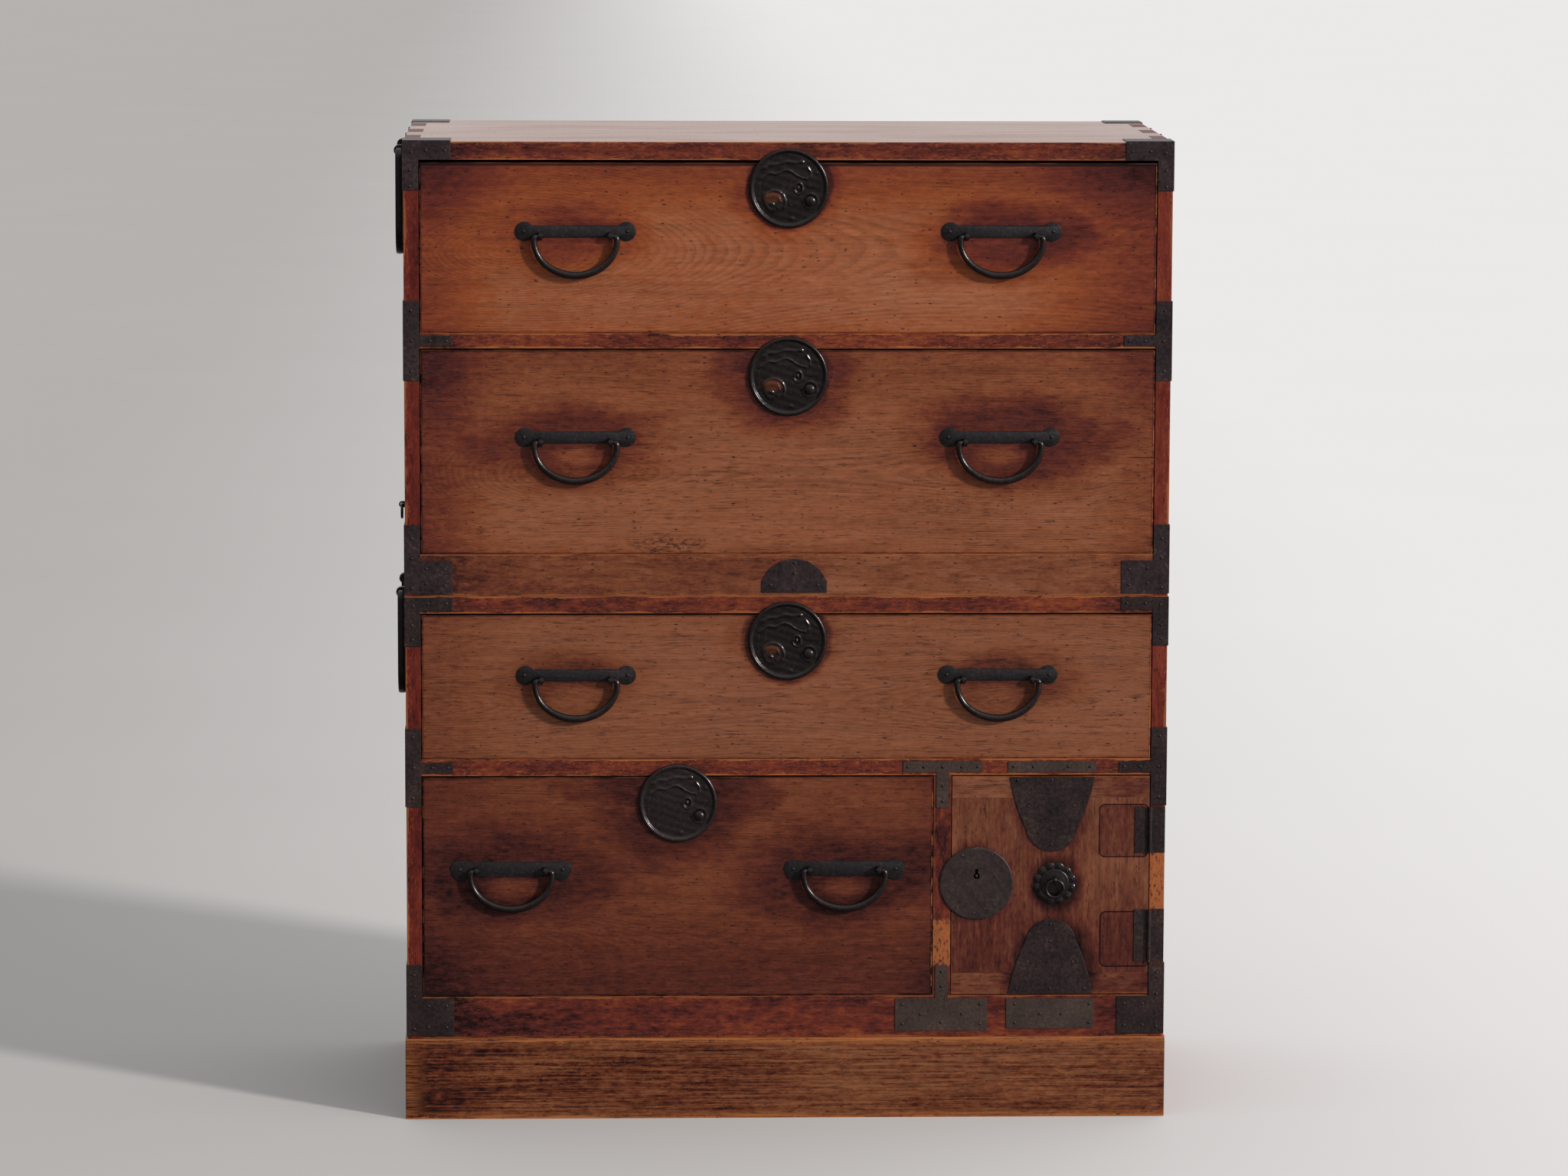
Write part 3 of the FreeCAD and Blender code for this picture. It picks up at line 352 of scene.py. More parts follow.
def drawer_wood(d, film, heart, rims, seed, reach, tones, pull, shadow_depth, polish=0.45, marks=None,
                mottled=0.75, dashed=0.60, figure=(0.22, 0.12)):
    """A drawer front: worn in the middle, darker to its edges and round its ironwork.

    rims are (width, amount) of the grime at the left, right, top and bottom; pull is how dark
    the left handle's, the right handle's and the lock's stains are. The value after pull is how far
    down from the top edge a painted shadow band reaches, the shade cast by the rail above.
    """
    w = Wood(d.name + "_front_wood", "xzy", heart, 0.0030, seed)
    soft = w.swing(w.grain(40.0, 22.0, 3.0, 0.6, seed + 2), 0.6)
    wander = w.add(w.swing(w.cloud, 1.1), soft)
    slight = w.mul(wander, 0.4)
    stain, rubbed = 0.0, 0.0
    for p, strong in zip(d.bails.values(), pull):
        plate_z = p.z + (1 if d.flared else plate_rise) * MM
        wide = w.halo((p.x + (p.x - d.middle) * 0.04, plate_z - 6 * MM), handle_stain,
                      w.mul(wander, 0.7), 0.1, reach)
        close = w.halo((p.x, plate_z), plate_stain, slight, 0.3)
        stain = w.most(stain, w.mul(wide, strong), w.mul(close, 0.16 + strong * 0.85))
        rubbed = w.most(rubbed, w.halo((p.x, plate_z - 23 * MM), rubbed_spot, slight, 0.3))
    wide = w.halo((d.lock.x, d.lock.z), lock_stain, wander, 0.2, reach)
    close = w.halo((d.lock.x, d.lock.z), rim_stain, slight, 0.75)
    stain = w.most(stain, w.mul(wide, pull[2]), w.mul(close, 0.25 + pull[2]))
    stain = w.mul(w.least(stain, darkest_stain), w.sub(1.0, w.mul(rubbed, polish)))
    margins = w.margins(d.box)
    grime = 0.0
    for distance, (width, amount) in zip(margins, rims):
        distance = w.add(distance, w.swing(w.cloud, 0.10))
        grime = w.add(grime, w.mul(w.fade(distance, width, 0.0), amount))
    level = w.add(w.add(film, grime), w.swing(w.cloud, 0.45))
    level = w.most(level, w.add(w.mul(level, 0.45), stain))
    level = w.mul(level, w.fade(w.y, d.face + 0.012, d.face + 0.008))
    nearest = w.least(*margins)
    rub = w.grain(60.0, 22.0, 3.0, 0.6, seed + 13)
    chipped = w.mul(w.fade(nearest, 0.0015, 0.0005), w.fade(rub, 0.45, 0.6))
    line = w.mul(w.fade(nearest, 0.0034, 0.0010), 0.28)
    scars_and_shadow = w.mul(w.fade(w.grain(260.0, 30.0, 2.0, 0.5, seed + 17), 0.70, 0.76), 0.6)
    # A painted shadow band along the front's top edge, where the rail above casts shade, joins the
    # scars here and is drawn in the soot colour
    scars_and_shadow = w.most(scars_and_shadow, w.fade(margins[2], shadow_depth + 0.0006, shadow_depth - 0.0006))
    if marks:
        scars_and_shadow = w.most(scars_and_shadow, marks(w, wander, soft))
    return w.lacquered(w.add(level, line), tones, w.mul(chipped, 0.55), scars_and_shadow, mottled, dashed,
                       figure)


faded = film_tones((130, 80, 55), (116, 63, 37), (92, 41, 27), (66, 28, 27))
greyed = film_tones((124, 77, 55), (112, 63, 39), (92, 45, 29), (60, 28, 22))
dim = film_tones((120, 72, 48), (104, 54, 32), (84, 38, 25), (62, 26, 22))
# In each front's look, the depth in metres after pull is how far a painted shadow band reaches down
# from the top edge, under the rail above
fronts = [
    dict(film=0.12, heart=(0.24, 1.047, -0.115, 0.30), seed=1.0, reach=1.05, tones=lacquer_stops,
         rims=((0.13, 0.38), (0.20, 0.44), (0.09, 0.36), (0.03, 0.12)), pull=(0.54, 0.72, 0.56),
         shadow_depth=0.0042, polish=0.0, mottled=0.55, dashed=0.34, figure=(0.24, 0.18)),
    dict(film=0.14, heart=(0.03, 0.785, -0.180, 0.45), seed=4.0, reach=1.2, tones=faded,
         rims=((0.12, 0.48), (0.10, 0.26), (0.13, 0.28), (0.03, 0.12)), pull=(0.70, 0.86, 0.64),
         shadow_depth=0.0018, marks=soot_marks),
    dict(film=0.16, heart=(-0.06, 0.505, -0.175, 0.30), seed=9.0, reach=0.85, tones=greyed,
         rims=((0.14, 0.28), (0.02, 0.05), (0.03, 0.12), (0.03, 0.10)), pull=(0.58, 0.68, 0.52),
         shadow_depth=0.0012),
    dict(film=0.38, heart=(0.05, 0.20, -0.165, 0.25), seed=14.0, reach=1.6, tones=dim,
         rims=((0.14, 0.24), (0.05, 0.14), (0.03, 0.04), (0.15, 0.34)), pull=(0.68, 0.74, 0.66),
         shadow_depth=0.0010),
]
for d, look in zip(drawers, fronts):
    dress(d.name + "_front", drawer_wood(d, **look), 0.0004)


def case_board(name, axes, heart, film, seed, bevel, sides=(0, 0, 1, 1), worn_edge=1.0,
               mirror=False, extra=None, amount=0.55, tones=lacquer_stops, mottled=1.0):
    """Dresses a board of the case in dark lacquer, rubbed through along its long edges."""
    w = Wood(name + "_wood", axes, heart, 0.0044, seed, mirror)
    w.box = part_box(name)
    level = w.add(film, w.swing(w.cloud, amount))
    level = w.add(level, w.swing(w.grain(60.0, 16.0, 3.0, 0.6, seed + 2), 0.75))
    if axes[0] == "x":
        level = w.add(level, w.mul(w.fade(w.absolute(w.x), 0.34, 0.41), 0.16))
    nearest = w.edge(w.box, sides)
    rub = w.grain(110.0, 16.0, 4.0, 0.65, seed + 13)
    width = w.fade(rub, 0.36, 0.72, 0.0003, 0.0040)
    bright = w.mul(w.fade(w.math("DIVIDE", nearest, width), 1.1, 0.7), worn_edge * 0.75)
    chips = w.fade(w.grain(640.0, 170.0, 3.0, 0.75, seed + 15), 0.57, 0.63)
    zone = w.fade(w.grain(30.0, 9.0, 2.0, 0.5, seed + 16), 0.44, 0.60)
    near = w.fade(nearest, 0.012, 0.003)
    chips = w.mul(chips, w.most(w.mul(zone, 0.5), near))
    bright = w.most(bright, w.mul(chips, 0.6 * worn_edge))
    if extra:
        level, bright = extra(w, level, bright)
    dress(name, w.lacquered(level, tones, w.clamp(bright), 0.0, mottled), bevel)


def plain_board(name, axes, heart, seed, colours, bevel, plank_width=None):
    """Dresses an unfinished board, or one made of planks, browned with age."""
    w = Wood(name + "_wood", axes, heart, 0.0048, seed)
    tint = w.add(w.mul(w.cloud, 0.6), w.mul(w.streak, 0.4))
    if plank_width:
        place = w.math("DIVIDE", w.add(w.x, plank_width * 20.3), plank_width)
        plank = w.math("FLOOR", place)
        own = w.make("ShaderNodeTexWhiteNoise", noise_dimensions="1D")
        w.feed(own.inputs["W"], plank)
        tint = w.add(tint, w.swing(own.outputs["Value"], 0.34))
        middle = w.absolute(w.sub(w.sub(place, plank), 0.5))
        gap = w.fade(middle, 0.5 - 0.0014 / plank_width, 0.5 - 0.0006 / plank_width)
    colour = w.ramp(tint, [(0.3, colours[0]), (0.7, colours[1])])
    shade = w.add(w.sub(1.06, w.mul(w.late, 0.3)), w.swing(w.fibre, 0.25))
    colour = w.mix(1.0, colour, w.grey(shade), "MULTIPLY")
    spots = w.specks((70.0, 70.0, 70.0), 0.2, 0.1, seed)
    colour = w.mix(w.mul(spots, 0.5), colour, tone(60, 40, 30))
    height = w.add(w.mul(w.late, 0.5), w.mul(w.fibre, 0.5))
    if plank_width:
        colour = w.mix(w.mul(gap, 0.8), colour, tone(38, 24, 18))
        height = w.sub(height, w.mul(gap, 2.0))
    dress(name, w.finish(colour, w.fade(w.streak, 0.2, 0.8, 0.6, 0.8), height), bevel)


stile_tones = film_tones((124, 60, 36), (108, 44, 28), (92, 30, 22), (66, 20, 18))
door_tones = film_tones((122, 76, 54), (102, 58, 38), (78, 34, 26), (50, 22, 18))
plinth_tones = film_tones((118, 72, 46), (104, 58, 34), (86, 40, 22), (62, 24, 15))


def glare_top(w, level, bright):
    """The upper face of the chest: a painted glare, pale and streaky colour in place of bright
    light reflected on its lacquer, broken by a glued joint near the front.
    """
    face = w.fade(w.z, top - 0.0009, top - 0.0003)
    joint = w.fade(w.absolute(w.sub(w.y, front + 0.067)), 0.0012, 0.0005)
    w.painted_glare = w.mul(face, w.sub(1.0, w.mul(joint, 0.8)))
    return level, bright


def bare_patches(w, level, bright):
    """Stretches of the lower section's uprights that are rubbed down to the bare wood."""
    height = w.add(w.z, w.swing(w.grain(120.0, 60.0, 3.0, 0.6, 71.0), 0.03))
    for left, right, low, high in ((0.16, 0.22, 0.187, 0.242), (0.40, 0.48, 0.234, 0.334)):
        patch = w.mul(w.fade(height, low - 0.002, low + 0.002),
                      w.fade(height, high + 0.002, high - 0.002))
        across = w.mul(w.fade(w.own_x, left, left + 0.001), w.fade(w.own_x, right, right - 0.001))
        flaked = w.fade(w.grain(300.0, 120.0, 3.0, 0.7, 73.0), 0.36, 0.48)
        bright = w.most(bright, w.mul(w.mul(w.mul(patch, across), flaked), 0.55))
    return level, bright


def outer_side(w, level, bright):
    """The flanks: darkest along their edges and round the carrying handles."""
    level = w.add(level, w.fade(w.own_x, 0.0, 0.1, 0.02, -0.10))
    patched, bright = bare_patches(w, level, bright)
    bright = w.mul(bright, w.fade(w.y, front + 0.0045, front + 0.0020))
    low, high = w.box
    flank = w.fade(w.absolute(w.x), high.x - 0.0012, high.x - 0.0006)
    drift = w.swing(w.cloud, 0.16)
    rim = w.least(w.sub(w.y, low.y), w.sub(high.y, w.y), w.sub(w.z, low.z), w.sub(high.z, w.z))
    rim = w.fade(w.add(rim, drift), 0.085, 0.0)
    away = w.length(w.mul(w.y, 1 / 0.135), w.mul(w.sub(w.z, high.z - 0.052), 1 / 0.105))
    handled = w.fade(w.add(away, w.mul(drift, 5.0)), 1.0, 0.35)
    old = w.add(w.mul(rim, 0.18), w.mul(handled, 0.20))
    old = w.add(old, w.swing(w.cloud, 0.30))
    return w.add(patched, w.mul(flank, old)), bright


def paler_right(w, level, bright):
    """The upper section's bottom rail: redder at its left end, rubbed grey to the right."""
    return w.add(level, w.fade(w.x, -0.40, 0.25, 0.20, -0.10)), bright


def plinth_streaks(w, level, bright):
    """Dark and pale lines in the raised grain of the base, palest at its edges and left end."""
    lines = w.grain(460.0, 9.0, 4.0, 0.7, 81.0)
    level = w.add(level, w.swing(lines, 2.4))
    low, high = w.box
    rim = w.least(w.sub(high.z, w.z), w.mul(w.sub(w.z, low.z), 1.1))
    end = w.mul(w.fade(w.sub(w.x, low.x), 0.03, 0.0), 0.7)
    worn = w.mul(w.most(w.fade(rim, 0.012, 0.002), end), w.fade(lines, 0.46, 0.58))
    return w.add(level, w.fade(w.x, -0.42, 0.42, 0.14, -0.10)), w.most(bright, w.mul(worn, 0.62))


aged = (tone(150, 108, 74), tone(118, 80, 54))
pale = (tone(176, 134, 94), tone(146, 104, 70))
brown = (tone(122, 84, 58), tone(92, 60, 42))

rails = {"upper": dict(film=0.40, extra=paler_right, tones=greyed), "lower": dict(film=0.68)}
for level, seed in (("upper", 21.0), ("lower", 27.0)):
    name = level + "_side_boards"
    case_board(name, "zyx", (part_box(name)[0].z + 0.2, 0.02, 0.40, 0.15), 0.60, seed, 0.0006,
               (0, 1, 0, 0), 0.5, True, outer_side, tones=stile_tones, mottled=0.75)
    name = level + "_top_board"
    case_board(name, "xyz", (0.1, -0.02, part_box(name)[1].z - 0.06, 0.1), 0.64, seed + 1, 0.0008,
               worn_edge=0.55, extra=glare_top if level == "upper" else None)
    name = level + "_shelf"
    case_board(name, "xzy", (0.2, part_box(name)[0].z - 0.05, -0.25, 0.02), 0.66, seed + 2, 0.0006,
               worn_edge=0.7)
    name = level + "_bottom_boards"
    case_board(name, "xzy", (0.0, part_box(name)[0].z + 0.02, -0.17, 0.2), seed=seed + 3,
               bevel=0.0006, worn_edge=0.4, **rails[level])
    plain_board(level + "_back_boards", "zxy", (0.4, 0.1, 0.19, 0.1), seed + 4, aged, 0.0006,
                plank_width=0.149)

case_board("plinth_long_boards", "xzy", (-0.1, 0.06, -0.26, 0.12), 0.42, 33.0, 0.0008,
           worn_edge=0.8, extra=plinth_streaks, amount=0.7, tones=plinth_tones, mottled=1.7)
case_board("plinth_side_boards", "yzx", (0.0, 0.05, 0.5, 0.12), 0.55, 35.0, 0.0008)
plain_board("plinth_cross_boards", "yzx", (0.0, 0.05, 0.2, 0.1), 36.0, aged, 0.0006)
case_board("lower_divider", "zxy", (0.2, 0.19, -0.19, 0.1), 0.74, 38.0, 0.0005, (1, 1, 0, 0), 0.14,
           extra=bare_patches)
plain_board("inner_shelves", "xyz", (0.3, 0.0, 0.2, 0.1), 40.0, pale, 0.0004)
plain_board("inner_drawer_fronts", "xzy", (0.3, 0.2, -0.15, 0.4), 41.0, brown, 0.0005)
plain_board("inner_drawer_boxes", "yzx", (0.0, 0.2, 0.2, 0.2), 42.0, pale, 0.0004)
for d, seed in zip(drawers, (44.0, 46.0, 48.0, 50.0)):
    plain_board(d.name + "_box", "yzx", (0.0, d.box[0].z, 0.3, 0.2), seed, pale, 0.0005)

# Door
door_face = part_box("door_end_battens")[0].y

# Patches where older hinge leaves lay: centre x and z, half width and half height
ghosts = ((0.4055, 0.350, 0.0295, 0.032), (0.4075, 0.2175, 0.0295, 0.0335))
ghost_corner = 0.007
# Stains round the door's fittings: place, half width and half height
plate_stains = (((0.3165, 0.385), (0.058, 0.080)), ((0.3200, 0.180), (0.064, 0.080)),
                ((0.2285, 0.286), (0.060, 0.060)), ((0.3225, 0.286), (0.042, 0.046)))


def door_film(w, level, bright):
    """The door: dark round its fittings and to its foot, with the marks of older hinges."""
    wander = w.swing(w.cloud, 0.8)
    stain = w.most(*[w.halo(spot, size, wander, 0.45) for spot, size in plate_stains])
    level = w.add(level, w.add(w.mul(stain, 0.62), w.fade(w.z, 0.30, 0.20, 0.0, 0.20)))
    for x, z, half_x, half_z in ghosts:
        away_x = w.sub(w.absolute(w.sub(w.x, x)), half_x - ghost_corner)
        away_z = w.sub(w.absolute(w.sub(w.z, z)), half_z - ghost_corner)
        corner = w.length(w.most(away_x, 0.0), w.most(away_z, 0.0))
        signed = w.sub(w.add(corner, w.least(w.most(away_x, away_z), 0.0)), ghost_corner)
        inside = w.fade(signed, 0.0006, -0.0006)
        level = w.add(w.mul(level, w.sub(1.0, w.mul(inside, 0.6))), w.mul(inside, 0.42))
        outline = w.fade(w.absolute(signed), 0.0012, 0.0004)
        level = w.add(level, w.mul(outline, 0.5))
        bright = w.mul(bright, w.fade(signed, -0.001, 0.001))
    outer = w.fade(w.y, door_face + 0.008, door_face + 0.005)
    return w.add(w.mul(level, outer), w.mul(w.sub(1.0, outer), 0.25)), bright


case_board("door_board", "zxy", (0.30, 0.36, -0.17, 0.3), 0.36, 55.0, 0.0004, (1, 1, 0, 0), 0.1,
           extra=door_film, tones=door_tones, mottled=0.8)
case_board("door_end_battens", "xzy", (0.3, 0.28, -0.17, 0.2), 0.26, 58.0, 0.0004, worn_edge=0.2,
           extra=door_film, tones=door_tones)


class Iron(Graph):
    """Hammered iron under old black lacquer, browned where it has worn."""

    def __init__(self, name, seed, colours, gloss=0.42, rust=(), hammered=1.0, shine=0.35):
        super().__init__(name)
        patch = self.noise((28.0, 28.0, 28.0), 4.0, 0.6, seed)
        fine = self.noise((260.0, 260.0, 260.0), 3.0, 0.6, seed + 2)
        dents = self.noise((110.0, 110.0, 110.0), 2.0, 0.5, seed + 4)
        blend = self.add(self.mul(patch, 0.5), self.mul(fine, 0.5))
        colour = self.ramp(blend, [(0.32, tone(*colours[0])), (0.56, tone(*colours[1])),
                                   (0.78, tone(*colours[2]))])
        rough = self.add(gloss, self.swing(fine, 0.35))
        for spot, size in rust:
            mask = self.halo(spot, size, self.swing(patch, 1.2), 0.4)
            colour = self.mix(self.mul(mask, 0.8), colour, tone(88, 45, 22))
        pits = self.specks((240.0, 240.0, 240.0), 0.3, 0.2, seed)
        height = self.add(self.mul(dents, hammered), self.mul(fine, 0.3))
        height = self.sub(height, self.mul(pits, 0.3))
        self.shader.inputs["Metallic"].default_value = 0.35
        self.finish(colour, rough, height, 0.0005, 0.7, shine)


def iron(name, seed, low, middle, high, gloss=0.42, shine=0.35):
    """The material of iron with three tones, from its hollows to its worn spots."""
    return Iron(name, seed, (low, middle, high), gloss, shine=shine).material


iron_plain = iron("iron_sheet", 2.0, (24, 16, 18), (50, 38, 37), (92, 68, 58))
iron_upper = iron("iron_upper", 3.0, (26, 17, 21), (50, 38, 40), (92, 70, 64))
iron_handle = iron("iron_handle", 5.0, (20, 16, 19), (33, 28, 31), (52, 42, 42), 0.38, 0.4)
iron_bar = iron("iron_bar", 7.0, (20, 13, 13), (32, 23, 22), (54, 38, 30), 0.27, 0.6)
iron_foot = iron("iron_foot", 12.0, (46, 35, 32), (68, 54, 48), (92, 74, 62), 0.5)
iron_door_lock = iron("iron_door_lock", 13.0, (36, 27, 27), (54, 43, 41), (80, 64, 56), 0.48)
iron_inner = iron("iron_inner", 15.0, (44, 34, 30), (66, 50, 42), (92, 64, 48), 0.5)

dress("upper_irons", iron_upper, 0.0004)
for name in ("lower_corner_irons", "door_shields", "door_hinge_leaves", "frame_hinge_leaves"):
    dress(name, iron_plain, 0.0004)
dress("divider_irons", iron_foot, 0.0004)


# Mesh helpers

def mesh_of(name, bm, material):
    """Turns built faces into a mesh of one material."""
    mesh = bpy.data.meshes.new(name)
    bm.to_mesh(mesh)
    bm.free()
    mesh.materials.append(material)
    return mesh


def link(name, data):
    """Puts new data in the scene as an object of the same name."""
    obj = bpy.data.objects.new(name, data)
    bpy.context.scene.collection.objects.link(obj)
    return obj


def piece(name, bm, body, material, sharp=38):
    """Turns built faces into a named piece that rides on a body."""
    bmesh.ops.recalc_face_normals(bm, faces=bm.faces)
    mesh = mesh_of(name, bm, material)
    for face in mesh.polygons:
        face.use_smooth = True
    mesh.set_sharp_from_angle(angle=radians(sharp))
    obj = link(name, mesh)
    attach(obj, body)
    return obj


def skin(bm, rings, closed=False):
    """Faces between rings of points that match one to one."""
    rows = [[bm.verts.new(p) for p in ring] for ring in rings]
    for i in range(len(rows) if closed else len(rows) - 1):
        a, b = rows[i], rows[(i + 1) % len(rows)]
        for k in range(len(a)):
            n = (k + 1) % len(a)
            bm.faces.new((a[k], a[n], b[n], b[k]))
    if not closed:
        bm.faces.new(rows[0][::-1])
        bm.faces.new(rows[-1])


def square_to(axis):
    """Two directions square to an axis and to each other."""
    first = Z if abs(axis.z) < 0.5 else X
    return first, axis.cross(first)


def circle(count, radius=1.0, shift=0.0):
    """Points evenly round the origin."""
    turns = [2 * pi * (k + shift) / count for k in range(count)]
    return [(radius * cos(t), radius * sin(t)) for t in turns]


def off(centre, x, out, z):
    """The place that is x to the right, out to the front and z up, in millimetres."""
    return centre + Vector((x * MM, -out * MM, z * MM))


def lathe(bm, profile, centre, axis, sides):
    """A turned form: profile rows are (radius, height) in millimetres."""
    u, v = square_to(axis)
    rings = []
    for radius, height in profile:
        middle = centre + axis * (height * MM)
        size = max(radius, 0.02) * MM
        rings.append([middle + (u * c + v * s) * size for c, s in circle(sides)])
    skin(bm, rings)


def tube(bm, path, radii, normal, sides, closed=False, square=0.0):
    """A bar along a path in a plane; square moves its section from round towards square."""
    rings = []
    count = len(path)
    for i, place in enumerate(path):
        before = path[i - 1] if closed or i else place
        after = path[(i + 1) % count] if closed or i < count - 1 else place
        tangent = (after - before).normalized()
        across = tangent.cross(normal)
        ring = []
        for c, s in circle(sides, shift=0.5):
            size = radii[i] * (1 - square + square / max(abs(c), abs(s)) * 0.97)
            ring.append(place + across * (size * c) + normal * (size * s))
        rings.append(ring)
    skin(bm, rings, closed)


def round_edges(bm, edges, bevel):
    bmesh.ops.bevel(bm, geom=edges, offset=bevel * MM, segments=2, profile=0.5, affect="EDGES")


def plate(bm, outline, y, thickness, bevel):
    """A flat sheet on the plane y from corners (x, z) in metres, with its front edge rounded."""
    face = bm.faces.new([bm.verts.new(Vector((x, y, z))) for x, z in outline])
    made = bmesh.ops.extrude_face_region(bm, geom=[face])["geom"]
    for v in made:
        if isinstance(v, bmesh.types.BMVert):
            v.co.y -= thickness * MM
    round_edges(bm, [e for e in made if isinstance(e, bmesh.types.BMEdge)], bevel)


def arc(cx, cz, radius, start, end, steps):
    """Points on an arc between two angles in degrees."""
    turns = [radians(start + (end - start) * i / steps) for i in range(steps + 1)]
    return [(cx + radius * cos(t), cz + radius * sin(t)) for t in turns]


def stud(bm, place, out, radius=1.9, height=1.1):
    """The domed head of a hand-made nail."""
    steps = 5
    profile = [(radius, -0.2)]
    for i in range(steps + 1):
        turn = pi / 2 * i / steps
        profile.append((radius * cos(turn), height * sin(turn)))
    lathe(bm, profile, place, out, 14)


def eyelet(bm, base, out, along, reach, radius, bore, width):
    """A neck with a round bored end, in millimetres: its axis lies along, and it stands out."""
    outline = [(0.0, -radius)] + arc(reach, 0, radius, -90, 90, 20) + [(0.0, radius)]

    def ring(bored, across, grow):
        rows = []
        for a, b in outline:
            size = hypot(a - reach, b)
            toward_a, toward_b = (a - reach) / size, b / size
            if bored:
                a, b = reach + bore * toward_a, bore * toward_b
            a, b = max(a + toward_a * grow, 0.0), b + toward_b * grow
            rows.append(base + out * (a * MM) + Z * (b * MM) + along * (across * MM))
        return rows

    half, ease = width / 2, 0.35
    rings = [(1, ease - half, 0), (1, -half, ease), (0, -half, -ease), (0, ease - half, 0),
             (0, half - ease, 0), (0, half, -ease), (1, half, ease), (1, half - ease, 0)]
    skin(bm, [ring(*r) for r in rings], True)


# Drawer handles: a bail of round bar, thickest in the middle of its grip

bail_half, bar_radius, pin_radius, post_at = 49.0, 3.65, 2.35, 41.5


def both_halves(points):
    """Points whose last one is in the middle, and their mirror image."""
    return points + [(-a, b) for a, b in reversed(points[:-1])]


def bail_path():
    """The middle line of a bail and its radii, from one end to the other, in millimetres."""
    corner, spread, turn = 4.2, 0.775 * bail_half, radians(50)
    flank = bail_half - spread
    reach = flank / cos(turn)
    low = reach * sin(turn) - corner
    points = [(post_at - 3.6, 0.3), (post_at, 0.0), (bail_half - corner - 1.2, 0.0)]
    points += arc(bail_half - corner, -corner, corner, 80, 0, 6)
    points += arc(flank, -corner, spread, -6, -50, 10)
    points = both_halves(points + arc(0, low, spread + reach, -56, -90, 8))
    radii = []
    for a, b in points:
        drawn = min(max((abs(a) - 44.6) / 3.0, 0.0), 1.0) if b > -6 else 1.0
        grip = max(0.0, 1 - (abs(a) / 46) ** 2) if b < -8 else 0.0
        radii.append(pin_radius + (bar_radius - pin_radius) * drawn + grip)
    return points, radii


def bail(name, body, pivot):
    points, radii = bail_path()
    path = [pivot + X * (a * MM) + Z * (b * MM) for a, b in points]
    bm = bmesh.new()
    tube(bm, path, [r * MM for r in radii], Y, 16)
    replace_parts(piece(name, bm, body, iron_bar), body)


def mirrored(right, centre, height):
    """Corners in metres round a place, from the right half of an outline in millimetres."""
    outline = right + [(-a, b) for a, b in reversed(right)]
    return [(centre + a * MM, height + b * MM) for a, b in outline]


def dumbbell(centre, height):
    """Corners of the long plate with round ends behind a handle."""
    end, half, reach = 11.4, 7.2, 71.5
    turn = 180 - degrees(asin(half / end))
    return mirrored(arc(reach - end, 0, end, -turn, turn, 26), centre, height)


def flared(centre, height):
    """Corners of the fourth drawer's plate, whose ends flare and run out to points."""
    right = [(46, -8.5), (50, -9.2), (55, -11.5), (60, -14.0), (65.5, -13.0), (69, -8.6),
             (71.3, -3.5), (73.0, 1.0), (71.5, 5.5), (69, 9.4), (64, 10.8), (58, 10.6), (50, 9.8),
             (46, 9.6)]
    return mirrored(right, centre, height)


# The relief of a lock plate, in millimetres from its centre: lines of (x, z), beads of
# (x, z, radius, height) and, from the medallion's own centre, petals of (line, height, width)

wave = [(-34, 10.5), (-29, 14.0), (-24.2, 17.6), (-20.0, 17.8), (-15.9, 16.6), (-10.5, 18.6),
        (-6, 20.9), (-2, 21.5), (2.5, 19.8), (9, 15.2), (15.9, 11.9), (21, 11.2)]
crest = [(21, 11.2), (25.2, 14.5), (25.6, 19.5), (21.5, 25.5)]
ridge = [(-31, 24.0), (-22, 28.0), (-12, 28.5), (-3, 31.5), (6, 30.5), (15, 31)]
beads = ((15.9, 31, 2.4, 0.9), (3.5, -35.6, 2.6, 0.8), (-27.6, 24, 2.3, 0.7), (16, -15.2, 1.6, 0.5),
         (2, -20, 1.4, 0.4), (-35.5, -8, 1.6, 0.5), (33, 18, 1.7, 0.5))
petals = (([(-9.5, 5.0), (-3, 7.4), (4.5, 6.4)], 0.8, 2.2),
          ([(5.5, 4.0), (7.5, -1.0), (4.0, -6.0)], 0.7, 1.3))
medallion_at, medallion_radius = (-17.3, -15.6), 13.2
keyhole_x, rim_start, rim_middle = 11.2, 40.5, 44.6


def away_from(line, x, z):
    """The distance from a spot to a line of points."""
    best = 1e9
    for (ax, az), (bx, bz) in zip(line, line[1:]):
        dx, dz = bx - ax, bz - az
        t = max(0.0, min(1.0, ((x - ax) * dx + (z - az) * dz) / (dx * dx + dz * dz)))
        best = min(best, hypot(x - ax - t * dx, z - az - t * dz))
    return best


def swell(distance, width):
    return exp(-(distance / width) ** 2)


def dome(distance, radius):
    return sqrt(max(0.0, 1 - (distance / radius) ** 2))


def above(line, x, z):
    """1 over a line and 0 under it, with a short slope between."""
    for (ax, az), (bx, bz) in zip(line, line[1:]):
        if ax <= x <= bx:
            level = az + (bz - az) * (x - ax) / (bx - ax)
            return min(max((z - level) / 1.6 + 0.5, 0.0), 1.0)
    return 1.0 if z > 0 else 0.0


def medallion_height(x, z):
    """A flower under a raised rim; x and z are from its own centre."""
    away = hypot(x, z)
    if away >= 16:
        return 0.0
    height = 0.5 * min(max((medallion_radius - away) / 1.2, 0.0), 1.0)
    if -35 < degrees(atan2(z, x)) < 172:
        height += 1.2 * swell(away - medallion_radius, 1.1)
    for line, lift, width in petals:
        height += lift * swell(away_from(line, x, z), width)
    height += 0.9 * dome(hypot(x + 2.2, z + 3.2), 2.4)
    for bud_x, bud_z in arc(-2, -1.5, 8.2, 200, 312, 4):
        height += 0.6 * swell(hypot(x - bud_x, z - bud_z), 1.7)
    return height


